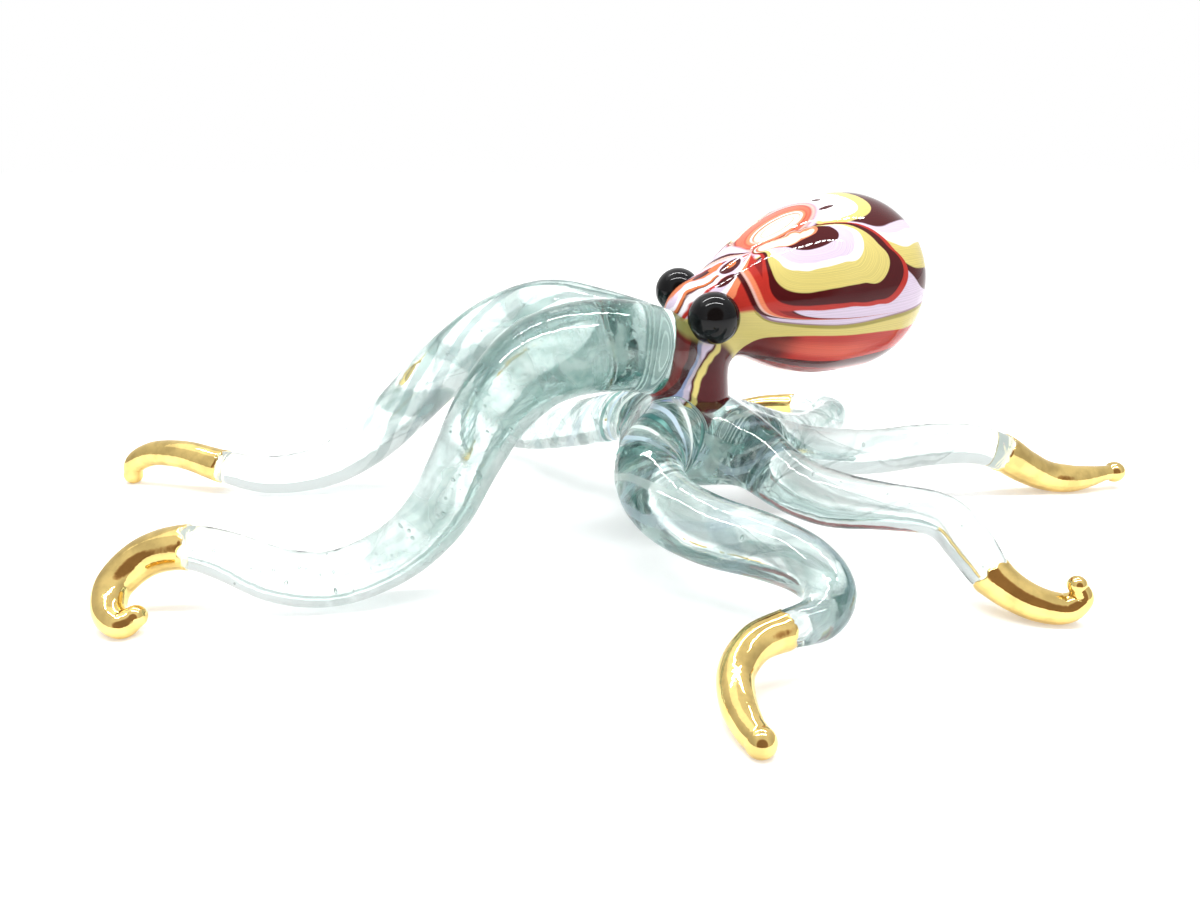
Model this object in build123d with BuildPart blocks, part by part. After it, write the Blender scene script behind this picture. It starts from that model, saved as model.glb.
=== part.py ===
from build123d import *
import os
from math import cos, dist, radians, sin, sqrt

os.makedirs("parts", exist_ok=True)

# A small octopus worked at a lamp from rods of glass: eight curling arms round a clear hub, a
# neck, a combed mantle that leans back, two black eyes, and gold fired on the ends of the arms.
# Millimetres. +Z is up, +X is to the right, and the head faces -X. Z is zero at the surface that
# the arms rest on, and the origin is under the middle of the footprint.

# Hub, the gather of clear glass that the arms are drawn from
hub_diameter = 17.6
hub_top_diameter = 9.8
hub_underside_diameter = 12.4
hub_underside_height = 6.0
hub_rim_height = 8.2
hub_shoulder_height = 12.0
hub_shoulder_diameter = 13.2
hub_top_height = 14.5

# Neck, the narrow bent column between the hub and the mantle
neck_diameter = 8.0
neck_foot_height = 10.0

# Mantle, a closed egg of combed glass whose small end sits on the neck
mantle_length = 33.1
mantle_diameter = 19.8
mantle_crown_length = 9.3
mantle_nose_length = 4.2
mantle_nose_diameter = 7.4
mantle_swing = 31.0
mantle_rise = 5.0
mantle_seat_height = 23.5
mantle_seat_forward = 0.3
mantle_seat_left = 0.5
mantle_overhang = 3.6

# Eyes, two beads of black glass pressed on the small end of the mantle
left_eye_diameter = 5.3
right_eye_diameter = 4.8
eye_stand = 0.25
left_eye_turn = 0.0
right_eye_turn = 154.0

# Foot flats, the shallow flats that the figure wears where it rests
foot_flat_depth = 0.15

# Arms: the bearing of the arm over the surface, how far it reaches from the middle of the hub,
# how high it arches over its resting height, its diameter at the root and that of its end bead
left_1_bearing = 206.0
left_1_reach = 58.0
left_1_arch_height = 16.5
left_1_diameter = 9.4
left_1_bead_diameter = 2.0

left_2_bearing = 270.0
left_2_reach = 42.5
left_2_arch_height = 8.5
left_2_diameter = 7.0
left_2_bead_diameter = 2.4

left_3_bearing = 322.0
left_3_reach = 40.0
left_3_arch_height = 8.5
left_3_diameter = 7.4
left_3_bead_diameter = 1.7

left_4_bearing = 12.0
left_4_reach = 54.0
left_4_arch_height = 9.0
left_4_diameter = 6.4
left_4_bead_diameter = 2.5

right_1_bearing = 170.0
right_1_reach = 69.0
right_1_arch_height = 18.5
right_1_diameter = 7.6
right_1_bead_diameter = 2.3

right_2_bearing = 134.0
right_2_reach = 41.5
right_2_arch_height = 9.0
right_2_diameter = 6.8
right_2_bead_diameter = 2.6

right_3_bearing = 98.0
right_3_reach = 45.0
right_3_arch_height = 9.0
right_3_diameter = 6.6
right_3_bead_diameter = 2.4

right_4_bearing = 62.0
right_4_reach = 46.5
right_4_arch_height = 9.0
right_4_diameter = 6.4
right_4_bead_diameter = 2.6

# Each arm's line in rows of four shares: out along its bearing and off to its left, as shares
# of its reach, its lift as a share of its arch, and its diameter as a share of its root's diameter
left_1_line_shares = [
    (0.020, 0.006, 0.93, 0.66),
    (0.065, 0.011, 0.93, 0.95),
    (0.190, 0.017, 1.00, 1.00),
    (0.310, 0.024, 0.97, 0.95),
    (0.400, 0.039, 0.79, 0.81),
    (0.460, 0.056, 0.54, 0.70),
    (0.515, 0.072, 0.29, 0.65),
    (0.585, 0.072, 0.11, 0.60),
    (0.680, 0.051, 0.00, 0.56),
    (0.760, 0.022, 0.04, 0.54),
    (0.825, -0.012, 0.16, 0.49),
    (0.880, -0.041, 0.23, 0.44),
    (0.940, -0.063, 0.20, 0.39),
    (0.988, -0.048, 0.11, 0.34),
    (1.000, -0.012, 0.03, 0.30),
    (0.985, 0.018, 0.00, 0.26),
    (0.965, 0.020, 0.05, 0.20),
]
left_2_line_shares = [
    (0.045, -0.013, 1.01, 1.03),
    (0.165, -0.081, 0.97, 1.04),
    (0.280, -0.127, 0.79, 1.01),
    (0.375, -0.091, 0.56, 0.98),
    (0.448, -0.003, 0.44, 0.94),
    (0.520, 0.096, 0.45, 0.86),
    (0.590, 0.173, 0.44, 0.76),
    (0.665, 0.205, 0.38, 0.66),
    (0.735, 0.176, 0.33, 0.55),
    (0.770, 0.105, 0.33, 0.46),
    (0.798, 0.045, 0.28, 0.43),
    (0.850, 0.005, 0.17, 0.41),
    (0.915, -0.002, 0.08, 0.39),
    (0.968, 0.010, 0.02, 0.34),
    (1.000, 0.025, 0.00, 0.31),
]
left_3_line_shares = [
    (0.035, -0.005, 0.96, 1.05),
    (0.170, -0.012, 0.78, 1.02),
    (0.300, -0.025, 0.54, 0.90),
    (0.425, -0.021, 0.49, 0.78),
    (0.562, -0.007, 0.59, 0.63),
    (0.685, 0.006, 0.62, 0.58),
    (0.760, -0.011, 0.39, 0.60),
    (0.815, -0.027, 0.20, 0.52),
    (0.866, -0.030, 0.10, 0.45),
    (0.920, -0.020, 0.03, 0.41),
    (0.970, 0.006, 0.03, 0.36),
    (0.996, 0.022, 0.19, 0.27),
    (0.985, 0.018, 0.36, 0.20),
]
left_4_line_shares = [
    (0.035, -0.010, 0.89, 0.94),
    (0.150, 0.005, 0.70, 0.93),
    (0.285, 0.016, 0.49, 0.87),
    (0.420, 0.027, 0.41, 0.83),
    (0.545, 0.027, 0.46, 0.80),
    (0.650, 0.024, 0.45, 0.75),
    (0.722, 0.018, 0.34, 0.70),
    (0.777, 0.013, 0.17, 0.63),
    (0.833, 0.007, 0.04, 0.56),
    (0.888, -0.004, 0.01, 0.51),
    (0.938, -0.009, 0.08, 0.38),
    (0.972, -0.009, 0.14, 0.28),
    (1.000, -0.007, 0.15, 0.26),
]
right_1_line_shares = [
    (0.020, 0.000, 0.87, 0.72),
    (0.055, -0.008, 0.89, 0.98),
    (0.155, -0.030, 0.97, 1.00),
    (0.245, -0.054, 0.99, 1.03),
    (0.335, -0.067, 0.88, 0.99),
    (0.425, -0.073, 0.66, 0.91),
    (0.500, -0.072, 0.40, 0.85),
    (0.570, -0.060, 0.17, 0.79),
    (0.645, -0.035, 0.03, 0.69),
    (0.730, -0.007, 0.00, 0.62),
    (0.815, 0.001, 0.07, 0.52),
    (0.885, -0.003, 0.14, 0.45),
    (0.942, -0.008, 0.15, 0.40),
    (0.977, -0.010, 0.12, 0.36),
    (0.998, -0.010, 0.07, 0.32),
    (1.004, -0.010, 0.01, 0.27),
]
right_2_line_shares = [
    (0.045, -0.010, 0.90, 1.00),
    (0.215, -0.006, 0.82, 0.97),
    (0.375, -0.010, 0.62, 0.88),
    (0.520, -0.015, 0.41, 0.79),
    (0.655, -0.015, 0.24, 0.71),
    (0.775, -0.010, 0.15, 0.59),
    (0.870, 0.000, 0.09, 0.50),
    (0.945, -0.003, 0.03, 0.44),
    (1.000, -0.025, 0.00, 0.37),
]
right_3_line_shares = [
    (0.045, -0.005, 0.91, 1.00),
    (0.180, -0.012, 0.83, 0.97),
    (0.315, 0.002, 0.57, 0.91),
    (0.465, 0.024, 0.27, 0.82),
    (0.610, 0.022, 0.09, 0.70),
    (0.740, -0.015, 0.05, 0.58),
    (0.845, -0.062, 0.03, 0.48),
    (0.935, -0.058, 0.01, 0.42),
    (0.995, -0.015, 0.00, 0.35),
]
right_4_line_shares = [
    (0.050, 0.000, 0.90, 1.00),
    (0.195, -0.045, 0.71, 0.97),
    (0.370, -0.080, 0.38, 0.91),
    (0.565, -0.102, 0.16, 0.84),
    (0.755, -0.110, 0.08, 0.77),
    (0.905, -0.098, 0.05, 0.72),
    (0.990, -0.040, 0.05, 0.62),
    (1.000, 0.055, 0.05, 0.53),
    (0.982, 0.145, 0.03, 0.47),
    (0.955, 0.215, 0.00, 0.39),
]

# The neck's line: lean from the hub's axis to the mantle's seat, climb between them, and diameter
neck_line_shares = [
    (0.00, 0.00, 1.25),
    (0.35, 0.26, 1.10),
    (0.85, 0.54, 1.00),
    (1.05, 0.80, 0.92),
    (1.00, 1.00, 0.78),
]

# The mantle's flank between its nose and its crown: along the flank, and from the nose's diameter
# to the full diameter
mantle_flank_shares = [
    (0.00, 0.00),
    (0.20, 0.26),
    (0.38, 0.56),
    (0.65, 0.87),
    (0.83, 0.96),
    (1.00, 1.00),
]
left_eye_along_share = 0.105
right_eye_along_share = 0.13

# Rings that each stretch between two rows of an arm's line is drawn through
row_ring_count = 2


def smooth_run(rows, steps):
    """Rows with more between them, on one curve that is smooth through every row."""
    knots = [0.0]
    for before, after in zip(rows, rows[1:]):
        knots.append(knots[-1] + dist(before[:3], after[:3]))
    last = len(rows) - 1
    slopes = []
    for i in range(len(rows)):
        low, high = max(i - 1, 0), min(i + 1, last)
        span = knots[high] - knots[low]
        slopes.append([(b - a) / span for a, b in zip(rows[low], rows[high])])
    run = []
    for i in range(last):
        span = knots[i + 1] - knots[i]
        for step in range(steps):
            t = step / steps
            start, end = 1 - 3 * t**2 + 2 * t**3, 3 * t**2 - 2 * t**3
            leave, arrive = span * t * (1 - t) ** 2, span * t**2 * (t - 1)
            columns = zip(rows[i], rows[i + 1], slopes[i], slopes[i + 1])
            run.append([start * a + end * b + leave * c + arrive * d for a, b, c, d in columns])
    run.append(list(rows[last]))
    return run


def arm_run(bearing, reach, arch, diameter, line_shares):
    """The arm's line from the middle of the hub: x, y, z and radius of each ring."""
    out_x, out_y = cos(radians(bearing)), sin(radians(bearing))
    rows = []
    for out_share, side_share, lift_share, diameter_share in line_shares:
        out, side, radius = out_share * reach, side_share * reach, diameter_share * diameter / 2
        height = radius - foot_flat_depth + lift_share * arch
        rows.append((out * out_x - side * out_y, out * out_y + side * out_x, height, radius))
    return smooth_run(rows, row_ring_count)


def rings(run):
    """Planes square to a run, carried along it without a twist, and the radius at each."""
    places = [Vector(*row[:3]) for row in run]
    side = Vector(0, 0, 1)
    planes = []
    for i, place in enumerate(places):
        heading = (places[min(i + 1, len(places) - 1)] - places[max(i - 1, 0)]).normalized()
        side = (side - heading * side.dot(heading)).normalized()
        planes.append((Plane(origin=place, x_dir=side, z_dir=heading), run[i][3]))
    return planes


# The arms in the order in which they are fused on
arm_sizes = {
    "left_1": (left_1_bearing, left_1_reach, left_1_arch_height, left_1_diameter, left_1_line_shares),
    "right_1": (right_1_bearing, right_1_reach, right_1_arch_height, right_1_diameter, right_1_line_shares),
    "left_2": (left_2_bearing, left_2_reach, left_2_arch_height, left_2_diameter, left_2_line_shares),
    "left_3": (left_3_bearing, left_3_reach, left_3_arch_height, left_3_diameter, left_3_line_shares),
    "left_4": (left_4_bearing, left_4_reach, left_4_arch_height, left_4_diameter, left_4_line_shares),
    "right_4": (right_4_bearing, right_4_reach, right_4_arch_height, right_4_diameter, right_4_line_shares),
    "right_2": (right_2_bearing, right_2_reach, right_2_arch_height, right_2_diameter, right_2_line_shares),
    "right_3": (right_3_bearing, right_3_reach, right_3_arch_height, right_3_diameter, right_3_line_shares),
}
arm_runs = {name: arm_run(*sizes) for name, sizes in arm_sizes.items()}

# End bead of each arm, and the row of its line where its gold starts
arm_beads = {
    "left_1": left_1_bead_diameter,
    "right_1": right_1_bead_diameter,
    "left_2": left_2_bead_diameter,
    "left_3": left_3_bead_diameter,
    "left_4": left_4_bead_diameter,
    "right_4": right_4_bead_diameter,
    "right_2": right_2_bead_diameter,
    "right_3": right_3_bead_diameter,
}
gold_rows = {
    "left_1": 11,
    "right_1": 10,
    "left_2": 9,
    "left_3": 7,
    "left_4": 6,
    "right_4": 7,
    "right_2": 6,
    "right_3": 6,
}

# The hub's axis stands where the middle of the footprint falls on the origin
footprint = [row for run in arm_runs.values() for row in run]
hub_x = -(min(x - r for x, y, z, r in footprint) + max(x + r for x, y, z, r in footprint)) / 2
hub_y = -(min(y - r for x, y, z, r in footprint) + max(y + r for x, y, z, r in footprint)) / 2

# The mantle's own directions: along its axis, out to the figure's left, and up from its back
mantle_level = cos(radians(mantle_rise))
mantle_along = Vector(
    cos(radians(mantle_swing)) * mantle_level,
    sin(radians(mantle_swing)) * mantle_level,
    sin(radians(mantle_rise)),
)
mantle_left = Vector(sin(radians(mantle_swing)), -cos(radians(mantle_swing)), 0)
mantle_up = mantle_left.cross(mantle_along)
mantle_seat = Vector(hub_x - mantle_seat_forward, hub_y - mantle_seat_left, mantle_seat_height)
mantle_end = mantle_seat - mantle_along * mantle_overhang


# Handle of a curve that follows a quarter of an ellipse, as a share of the ellipse's radius
quarter_share = 4 / 3 * (sqrt(2) - 1)

# The mantle's flank as radius and distance from the end of its nose
crown_start = mantle_length - mantle_crown_length
mantle_flank = []
for flank_share, swell_share in mantle_flank_shares:
    radius = (mantle_nose_diameter + swell_share * (mantle_diameter - mantle_nose_diameter)) / 2
    along = mantle_nose_length + flank_share * (crown_start - mantle_nose_length)
    mantle_flank.append((radius, along))


def mantle_radius(along):
    """Radius of the mantle's flank at a distance from the end of its nose."""
    for (narrow, near), (wide, far) in zip(mantle_flank, mantle_flank[1:]):
        if along <= far:
            return narrow + (wide - narrow) * (along - near) / (far - near)
    return mantle_diameter / 2


pieces = {}
seats = []

# Mantle
with BuildPart() as mantle:
    with BuildSketch(Plane(origin=mantle_end, x_dir=mantle_left, z_dir=mantle_up)):
        with BuildLine():
            Bezier(
                (0, 0),
                (quarter_share * mantle_nose_diameter / 2, 0),
                (mantle_nose_diameter / 2, mantle_nose_length - quarter_share * mantle_nose_length),
                (mantle_nose_diameter / 2, mantle_nose_length),
            )
            Spline(*mantle_flank, tangents=((0, 1), (0, 1)))
            Bezier(
                (mantle_diameter / 2, crown_start),
                (mantle_diameter / 2, crown_start + quarter_share * mantle_crown_length),
                (quarter_share * mantle_diameter / 2, mantle_length),
                (0, mantle_length),
            )
            Line((0, mantle_length), (0, 0))
        make_face()
    revolve(axis=Axis(mantle_end, mantle_along))
pieces["mantle"] = mantle
seats.append(mantle.part)

# Neck
neck_rows = []
for lean_share, climb_share, diameter_share in neck_line_shares:
    x = hub_x - lean_share * mantle_seat_forward
    y = hub_y - lean_share * mantle_seat_left
    z = neck_foot_height + climb_share * (mantle_seat_height - neck_foot_height)
    neck_rows.append((x, y, z, diameter_share * neck_diameter / 2))
with BuildPart() as neck:
    for plane, radius in rings(smooth_run(neck_rows, row_ring_count)):
        with BuildSketch(plane):
            Circle(radius)
    loft()
    add(seats, mode=Mode.SUBTRACT)
pieces["neck"] = neck
seats.append(neck.part)

# Hub
with BuildPart() as hub:
    with BuildSketch(Plane(origin=(hub_x, hub_y, 0), x_dir=(1, 0, 0), z_dir=(0, -1, 0))):
        with BuildLine():
            Line((0, hub_underside_height), (hub_underside_diameter / 2, hub_underside_height))
            Spline(
                (hub_underside_diameter / 2, hub_underside_height),
                (hub_diameter / 2, hub_rim_height),
                (hub_shoulder_diameter / 2, hub_shoulder_height),
                (hub_top_diameter / 2, hub_top_height),
            )
            Line((hub_top_diameter / 2, hub_top_height), (0, hub_top_height))
            Line((0, hub_top_height), (0, hub_underside_height))
        make_face()
    revolve(axis=Axis((hub_x, hub_y, 0), (0, 0, 1)))
    add(seats, mode=Mode.SUBTRACT)
pieces["hub"] = hub
seats.append(hub.part)

# Eyes
eyes = {
    "eye_left": (left_eye_along_share, left_eye_turn, left_eye_diameter),
    "eye_right": (right_eye_along_share, right_eye_turn, right_eye_diameter),
}
for name, (along_share, turn, diameter) in eyes.items():
    outward = mantle_left * cos(radians(turn)) + mantle_up * sin(radians(turn))
    along = along_share * mantle_length
    middle = mantle_end + mantle_along * along + outward * (mantle_radius(along) + eye_stand)
    with BuildPart() as eye:
        with Locations(Plane(origin=middle, z_dir=outward)):
            Sphere(diameter / 2)
        add(seats, mode=Mode.SUBTRACT)
    pieces[name] = eye
    seats.append(eye.part)

# Arms of clear glass, each one cut to the pieces that it is fused on, and their gilded tips
for side_name, run in arm_runs.items():
    placed = [(x + hub_x, y + hub_y, z, radius) for x, y, z, radius in run]
    arm_rings = rings(placed)
    gold_from = gold_rows[side_name] * row_ring_count
    with BuildPart() as arm:
        for plane, radius in arm_rings[: gold_from + 1]:
            with BuildSketch(plane):
                Circle(radius)
        loft()
        split(bisect_by=Plane.XY, keep=Keep.TOP)
        for seat in seats:
            add(seat, mode=Mode.SUBTRACT)
    with BuildPart() as tip:
        for plane, radius in arm_rings[gold_from:]:
            with BuildSketch(plane):
                Circle(radius)
        loft()
        with Locations(placed[-1][:3]):
            Sphere(arm_beads[side_name] / 2)
        split(bisect_by=Plane.XY, keep=Keep.TOP)
    seats.append(arm.part)
    pieces[f"arm_{side_name}"] = arm
    pieces[f"gilded_tip_{side_name}"] = tip

for name, piece in pieces.items():
    piece.part.label = name
    export_step(piece.part, f"parts/{name}.step")
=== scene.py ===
from math import cos, dist, pi, radians, sin, sqrt

import bpy
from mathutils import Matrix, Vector


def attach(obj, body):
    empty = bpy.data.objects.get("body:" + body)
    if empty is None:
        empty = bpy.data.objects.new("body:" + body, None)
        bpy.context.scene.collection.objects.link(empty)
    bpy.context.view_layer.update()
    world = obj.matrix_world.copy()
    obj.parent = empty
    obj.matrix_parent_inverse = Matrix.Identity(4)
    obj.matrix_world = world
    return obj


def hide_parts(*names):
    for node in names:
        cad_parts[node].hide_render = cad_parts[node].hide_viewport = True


# A small octopus worked at a lamp from rods of glass: a clear body of eight fused arms with
# twisted ribbons and bubbles in it, a combed mantle on a bent neck, black eyes and gilded arms.
# Lengths are in millimetres until they go into a mesh, and metres from there on.

bl_info = {
    "name": "Glass Octopus",
    "version": (1, 0, 0),
    "blender": (4, 5, 0),
    "location": "View3D > Sidebar > Octopus",
    "description": "Makes a lamp-worked glass octopus over its model",
    "category": "Object",
}

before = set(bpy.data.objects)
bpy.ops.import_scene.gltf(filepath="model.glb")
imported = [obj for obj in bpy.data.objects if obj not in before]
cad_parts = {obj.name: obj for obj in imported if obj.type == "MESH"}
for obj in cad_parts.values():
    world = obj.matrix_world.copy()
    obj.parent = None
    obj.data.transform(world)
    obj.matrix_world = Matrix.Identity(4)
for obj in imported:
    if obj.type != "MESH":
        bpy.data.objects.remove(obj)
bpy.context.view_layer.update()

MM = 0.001
TURN = 2 * pi
GLASS_IOR = 1.5

# Hub
hub_diameter = 17.6
hub_top_diameter = 9.8
hub_underside_diameter = 12.4
hub_underside_height = 6.0
hub_rim_height = 8.2
hub_shoulder_height = 12.0
hub_shoulder_diameter = 13.2
hub_top_height = 14.5

# Neck: lean from the hub's axis to the mantle's seat, climb between them and diameter, as shares
neck_diameter = 8.0
neck_foot_height = 10.0
neck_line_shares = [
    (0.00, 0.00, 1.25), (0.35, 0.26, 1.10), (0.85, 0.54, 1.00), (1.05, 0.80, 0.92),
    (1.00, 1.00, 0.78),
]

# Mantle and its flank between nose and crown: along the flank, from nose to full diameter
mantle_length = 33.1
mantle_diameter = 19.8
mantle_crown_length = 9.3
mantle_nose_length = 4.2
mantle_nose_diameter = 7.4
mantle_swing = 31.0
mantle_rise = 5.0
mantle_seat_height = 23.5
mantle_seat_forward = 0.3
mantle_seat_left = 0.5
mantle_overhang = 3.6
mantle_flank_shares = [
    (0.00, 0.00), (0.20, 0.26), (0.38, 0.56), (0.65, 0.87), (0.83, 0.96), (1.00, 1.00)
]

# Eyes: share of the mantle's length, turn round it, diameter, and how far the middle stands out
eye_rows = {"eye_left": (0.105, 0.0, 5.3), "eye_right": (0.13, 154.0, 4.8)}
eye_stand = 0.25

foot_flat_depth = 0.15

# Each arm: bearing, reach, arch height, diameter, end bead and the row where its gold starts
GOLD_ROW = 5
arm_rows = {
    "left_1": (206.0, 58.0, 16.5, 9.4, 2.0, 11),
    "right_1": (170.0, 69.0, 18.5, 7.6, 2.3, 10),
    "left_2": (270.0, 42.5, 8.5, 7.0, 2.4, 9),
    "left_3": (322.0, 40.0, 8.5, 7.4, 1.7, 7),
    "left_4": (12.0, 54.0, 9.0, 6.4, 2.5, 6),
    "right_4": (62.0, 46.5, 9.0, 6.4, 2.6, 7),
    "right_2": (134.0, 41.5, 9.0, 6.8, 2.6, 6),
    "right_3": (98.0, 45.0, 9.0, 6.6, 2.4, 6),
}

# Each arm's line in rows of four shares: out along its bearing and off to its left, as shares
# of its reach, its lift as a share of its arch, and its diameter as a share of its root's diameter
arm_line_shares = {
    "left_1": [
        (0.020, 0.006, 0.93, 0.66), (0.065, 0.011, 0.93, 0.95), (0.190, 0.017, 1.00, 1.00),
        (0.310, 0.024, 0.97, 0.95), (0.400, 0.039, 0.79, 0.81), (0.460, 0.056, 0.54, 0.70),
        (0.515, 0.072, 0.29, 0.65), (0.585, 0.072, 0.11, 0.60), (0.680, 0.051, 0.00, 0.56),
        (0.760, 0.022, 0.04, 0.54), (0.825, -0.012, 0.16, 0.49), (0.880, -0.041, 0.23, 0.44),
        (0.940, -0.063, 0.20, 0.39), (0.988, -0.048, 0.11, 0.34), (1.000, -0.012, 0.03, 0.30),
        (0.985, 0.018, 0.00, 0.26), (0.965, 0.020, 0.05, 0.20),
    ],
    "left_2": [
        (0.045, -0.013, 1.01, 1.03), (0.165, -0.081, 0.97, 1.04), (0.280, -0.127, 0.79, 1.01),
        (0.375, -0.091, 0.56, 0.98), (0.448, -0.003, 0.44, 0.94), (0.520, 0.096, 0.45, 0.86),
        (0.590, 0.173, 0.44, 0.76), (0.665, 0.205, 0.38, 0.66), (0.735, 0.176, 0.33, 0.55),
        (0.770, 0.105, 0.33, 0.46), (0.798, 0.045, 0.28, 0.43), (0.850, 0.005, 0.17, 0.41),
        (0.915, -0.002, 0.08, 0.39), (0.968, 0.010, 0.02, 0.34), (1.000, 0.025, 0.00, 0.31),
    ],
    "left_3": [
        (0.035, -0.005, 0.96, 1.05), (0.170, -0.012, 0.78, 1.02), (0.300, -0.025, 0.54, 0.90),
        (0.425, -0.021, 0.49, 0.78), (0.562, -0.007, 0.59, 0.63), (0.685, 0.006, 0.62, 0.58),
        (0.760, -0.011, 0.39, 0.60), (0.815, -0.027, 0.20, 0.52), (0.866, -0.030, 0.10, 0.45),
        (0.920, -0.020, 0.03, 0.41), (0.970, 0.006, 0.03, 0.36), (0.996, 0.022, 0.19, 0.27),
        (0.985, 0.018, 0.36, 0.20),
    ],
    "left_4": [
        (0.035, -0.010, 0.89, 0.94), (0.150, 0.005, 0.70, 0.93), (0.285, 0.016, 0.49, 0.87),
        (0.420, 0.027, 0.41, 0.83), (0.545, 0.027, 0.46, 0.80), (0.650, 0.024, 0.45, 0.75),
        (0.722, 0.018, 0.34, 0.70), (0.777, 0.013, 0.17, 0.63), (0.833, 0.007, 0.04, 0.56),
        (0.888, -0.004, 0.01, 0.51), (0.938, -0.009, 0.08, 0.38), (0.972, -0.009, 0.14, 0.28),
        (1.000, -0.007, 0.15, 0.26),
    ],
    "right_1": [
        (0.020, 0.000, 0.87, 0.72), (0.055, -0.008, 0.89, 0.98), (0.155, -0.030, 0.97, 1.00),
        (0.245, -0.054, 0.99, 1.03), (0.335, -0.067, 0.88, 0.99), (0.425, -0.073, 0.66, 0.91),
        (0.500, -0.072, 0.40, 0.85), (0.570, -0.060, 0.17, 0.79), (0.645, -0.035, 0.03, 0.69),
        (0.730, -0.007, 0.00, 0.62), (0.815, 0.001, 0.07, 0.52), (0.885, -0.003, 0.14, 0.45),
        (0.942, -0.008, 0.15, 0.40), (0.977, -0.010, 0.12, 0.36), (0.998, -0.010, 0.07, 0.32),
        (1.004, -0.010, 0.01, 0.27),
    ],
    "right_2": [
        (0.045, -0.010, 0.90, 1.00), (0.215, -0.006, 0.82, 0.97), (0.375, -0.010, 0.62, 0.88),
        (0.520, -0.015, 0.41, 0.79), (0.655, -0.015, 0.24, 0.71), (0.775, -0.010, 0.15, 0.59),
        (0.870, 0.000, 0.09, 0.50), (0.945, -0.003, 0.03, 0.44), (1.000, -0.025, 0.00, 0.37),
    ],
    "right_3": [
        (0.045, -0.005, 0.91, 1.00), (0.180, -0.012, 0.83, 0.97), (0.315, 0.002, 0.57, 0.91),
        (0.465, 0.024, 0.27, 0.82), (0.610, 0.022, 0.09, 0.70), (0.740, -0.015, 0.05, 0.58),
        (0.845, -0.062, 0.03, 0.48), (0.935, -0.058, 0.01, 0.42), (0.995, -0.015, 0.00, 0.35),
    ],
    "right_4": [
        (0.050, 0.000, 0.90, 1.00), (0.195, -0.045, 0.71, 0.97), (0.370, -0.080, 0.38, 0.91),
        (0.565, -0.102, 0.16, 0.84), (0.755, -0.110, 0.08, 0.77), (0.905, -0.098, 0.05, 0.72),
        (0.990, -0.040, 0.05, 0.62), (1.000, 0.055, 0.05, 0.53), (0.982, 0.145, 0.03, 0.47),
        (0.955, 0.215, 0.00, 0.39),
    ],
}

# How each arm's glass is coloured inside: turns at its root and over its length, how solid its
# ribbons, its skin stripes, its cloud and its flecks are, share of its length where they fade
# out, and the number of bubbles in it
arm_glass_rows = {
    "left_1": (0.0, 1.6, 0.25, 0.25, 1.00, 1.0, 0.78, 90),
    "right_1": (0.0, 2.2, 0.35, 0.78, 0.10, 0.1, 0.70, 10),
    "left_2": (1.4, 1.6, 0.25, 1.00, 0.40, 0.8, 0.95, 12),
    "left_3": (1.5, 0.8, 0.25, 0.20, 0.20, 0.2, 1.00, 8),
    "left_4": (1.5, 1.2, 0.30, 0.20, 0.15, 0.1, 0.90, 6),
    "right_4": (1.5, 2.4, 0.70, 0.40, 0.45, 0.3, 1.00, 14),
    "right_2": (1.0, 2.6, 0.35, 1.00, 0.20, 0.2, 1.00, 14),
    "right_3": (1.5, 2.0, 0.50, 0.40, 0.25, 0.2, 1.00, 14),
}

# Steps between two rows of a line, steps round a closed end, and steps of a sleeve's dome
ROW_STEPS = 6
CAP_STEPS = 8
DOME_STEPS = 10
# Arms whose bearing is past this one are on the near side
NEAR_BEARING = 190
# Points over a ribbon's width, and the metres within which a rod's points are one
RIBBON_POINTS = 9
MERGE_REACH = 1e-6
# Where the joints are smoothed most: height in the hub, and reach in the hub and in the neck
HUB_FILLET_HEIGHT = 11
HUB_FILLET_REACH = 18
NECK_FILLET_REACH = 9
# Under its gold the glass is thinner by an inset that comes in over a run, down to a least radius
GOLD_INSET = 0.16
GOLD_INSET_RUN = 0.8
LEAST_RADIUS = 0.3
# How far the gold's uneven edge reaches, and how far its flat cap does, as a share of the rod
GOLD_EDGE_RUN = 1.6
GOLD_CAP_SHARE = 0.93
# Ribbons start this far from the hub's axis: those of arms on the neck, and those of the others
HIGH_ARM_LIFT = 15
HIGH_START = 5.8
LOW_START = 4.5


def smooth_run(rows, steps):
    """Rows with more between them, on one curve that is smooth through every row."""
    knots = [0.0]
    for before, after in zip(rows, rows[1:]):
        knots.append(knots[-1] + dist(before[:3], after[:3]))
    last = len(rows) - 1
    slopes = []
    for i in range(len(rows)):
        low, high = max(i - 1, 0), min(i + 1, last)
        span = knots[high] - knots[low]
        slopes.append([(b - a) / span for a, b in zip(rows[low], rows[high])])
    run = []
    for i in range(last):
        span = knots[i + 1] - knots[i]
        for step in range(steps):
            t = step / steps
            start, end = 1 - 3 * t**2 + 2 * t**3, 3 * t**2 - 2 * t**3
            leave, arrive = span * t * (1 - t) ** 2, span * t**2 * (t - 1)
            columns = zip(rows[i], rows[i + 1], slopes[i], slopes[i + 1])
            run.append([start * a + end * b + leave * c + arrive * d for a, b, c, d in columns])
    run.append(list(rows[last]))
    return run


def arm_run(name, steps):
    """The arm's line from the middle of the hub: x, y, z and radius of each ring."""
    bearing, reach, arch, diameter = arm_rows[name][:4]
    out_x, out_y = cos(radians(bearing)), sin(radians(bearing))
    rows = []
    for out_share, side_share, lift_share, diameter_share in arm_line_shares[name]:
        out, side, radius = out_share * reach, side_share * reach, diameter_share * diameter / 2
        height = radius - foot_flat_depth + lift_share * arch
        rows.append((out * out_x - side * out_y, out * out_y + side * out_x, height, radius))
    return smooth_run(rows, steps)


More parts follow.
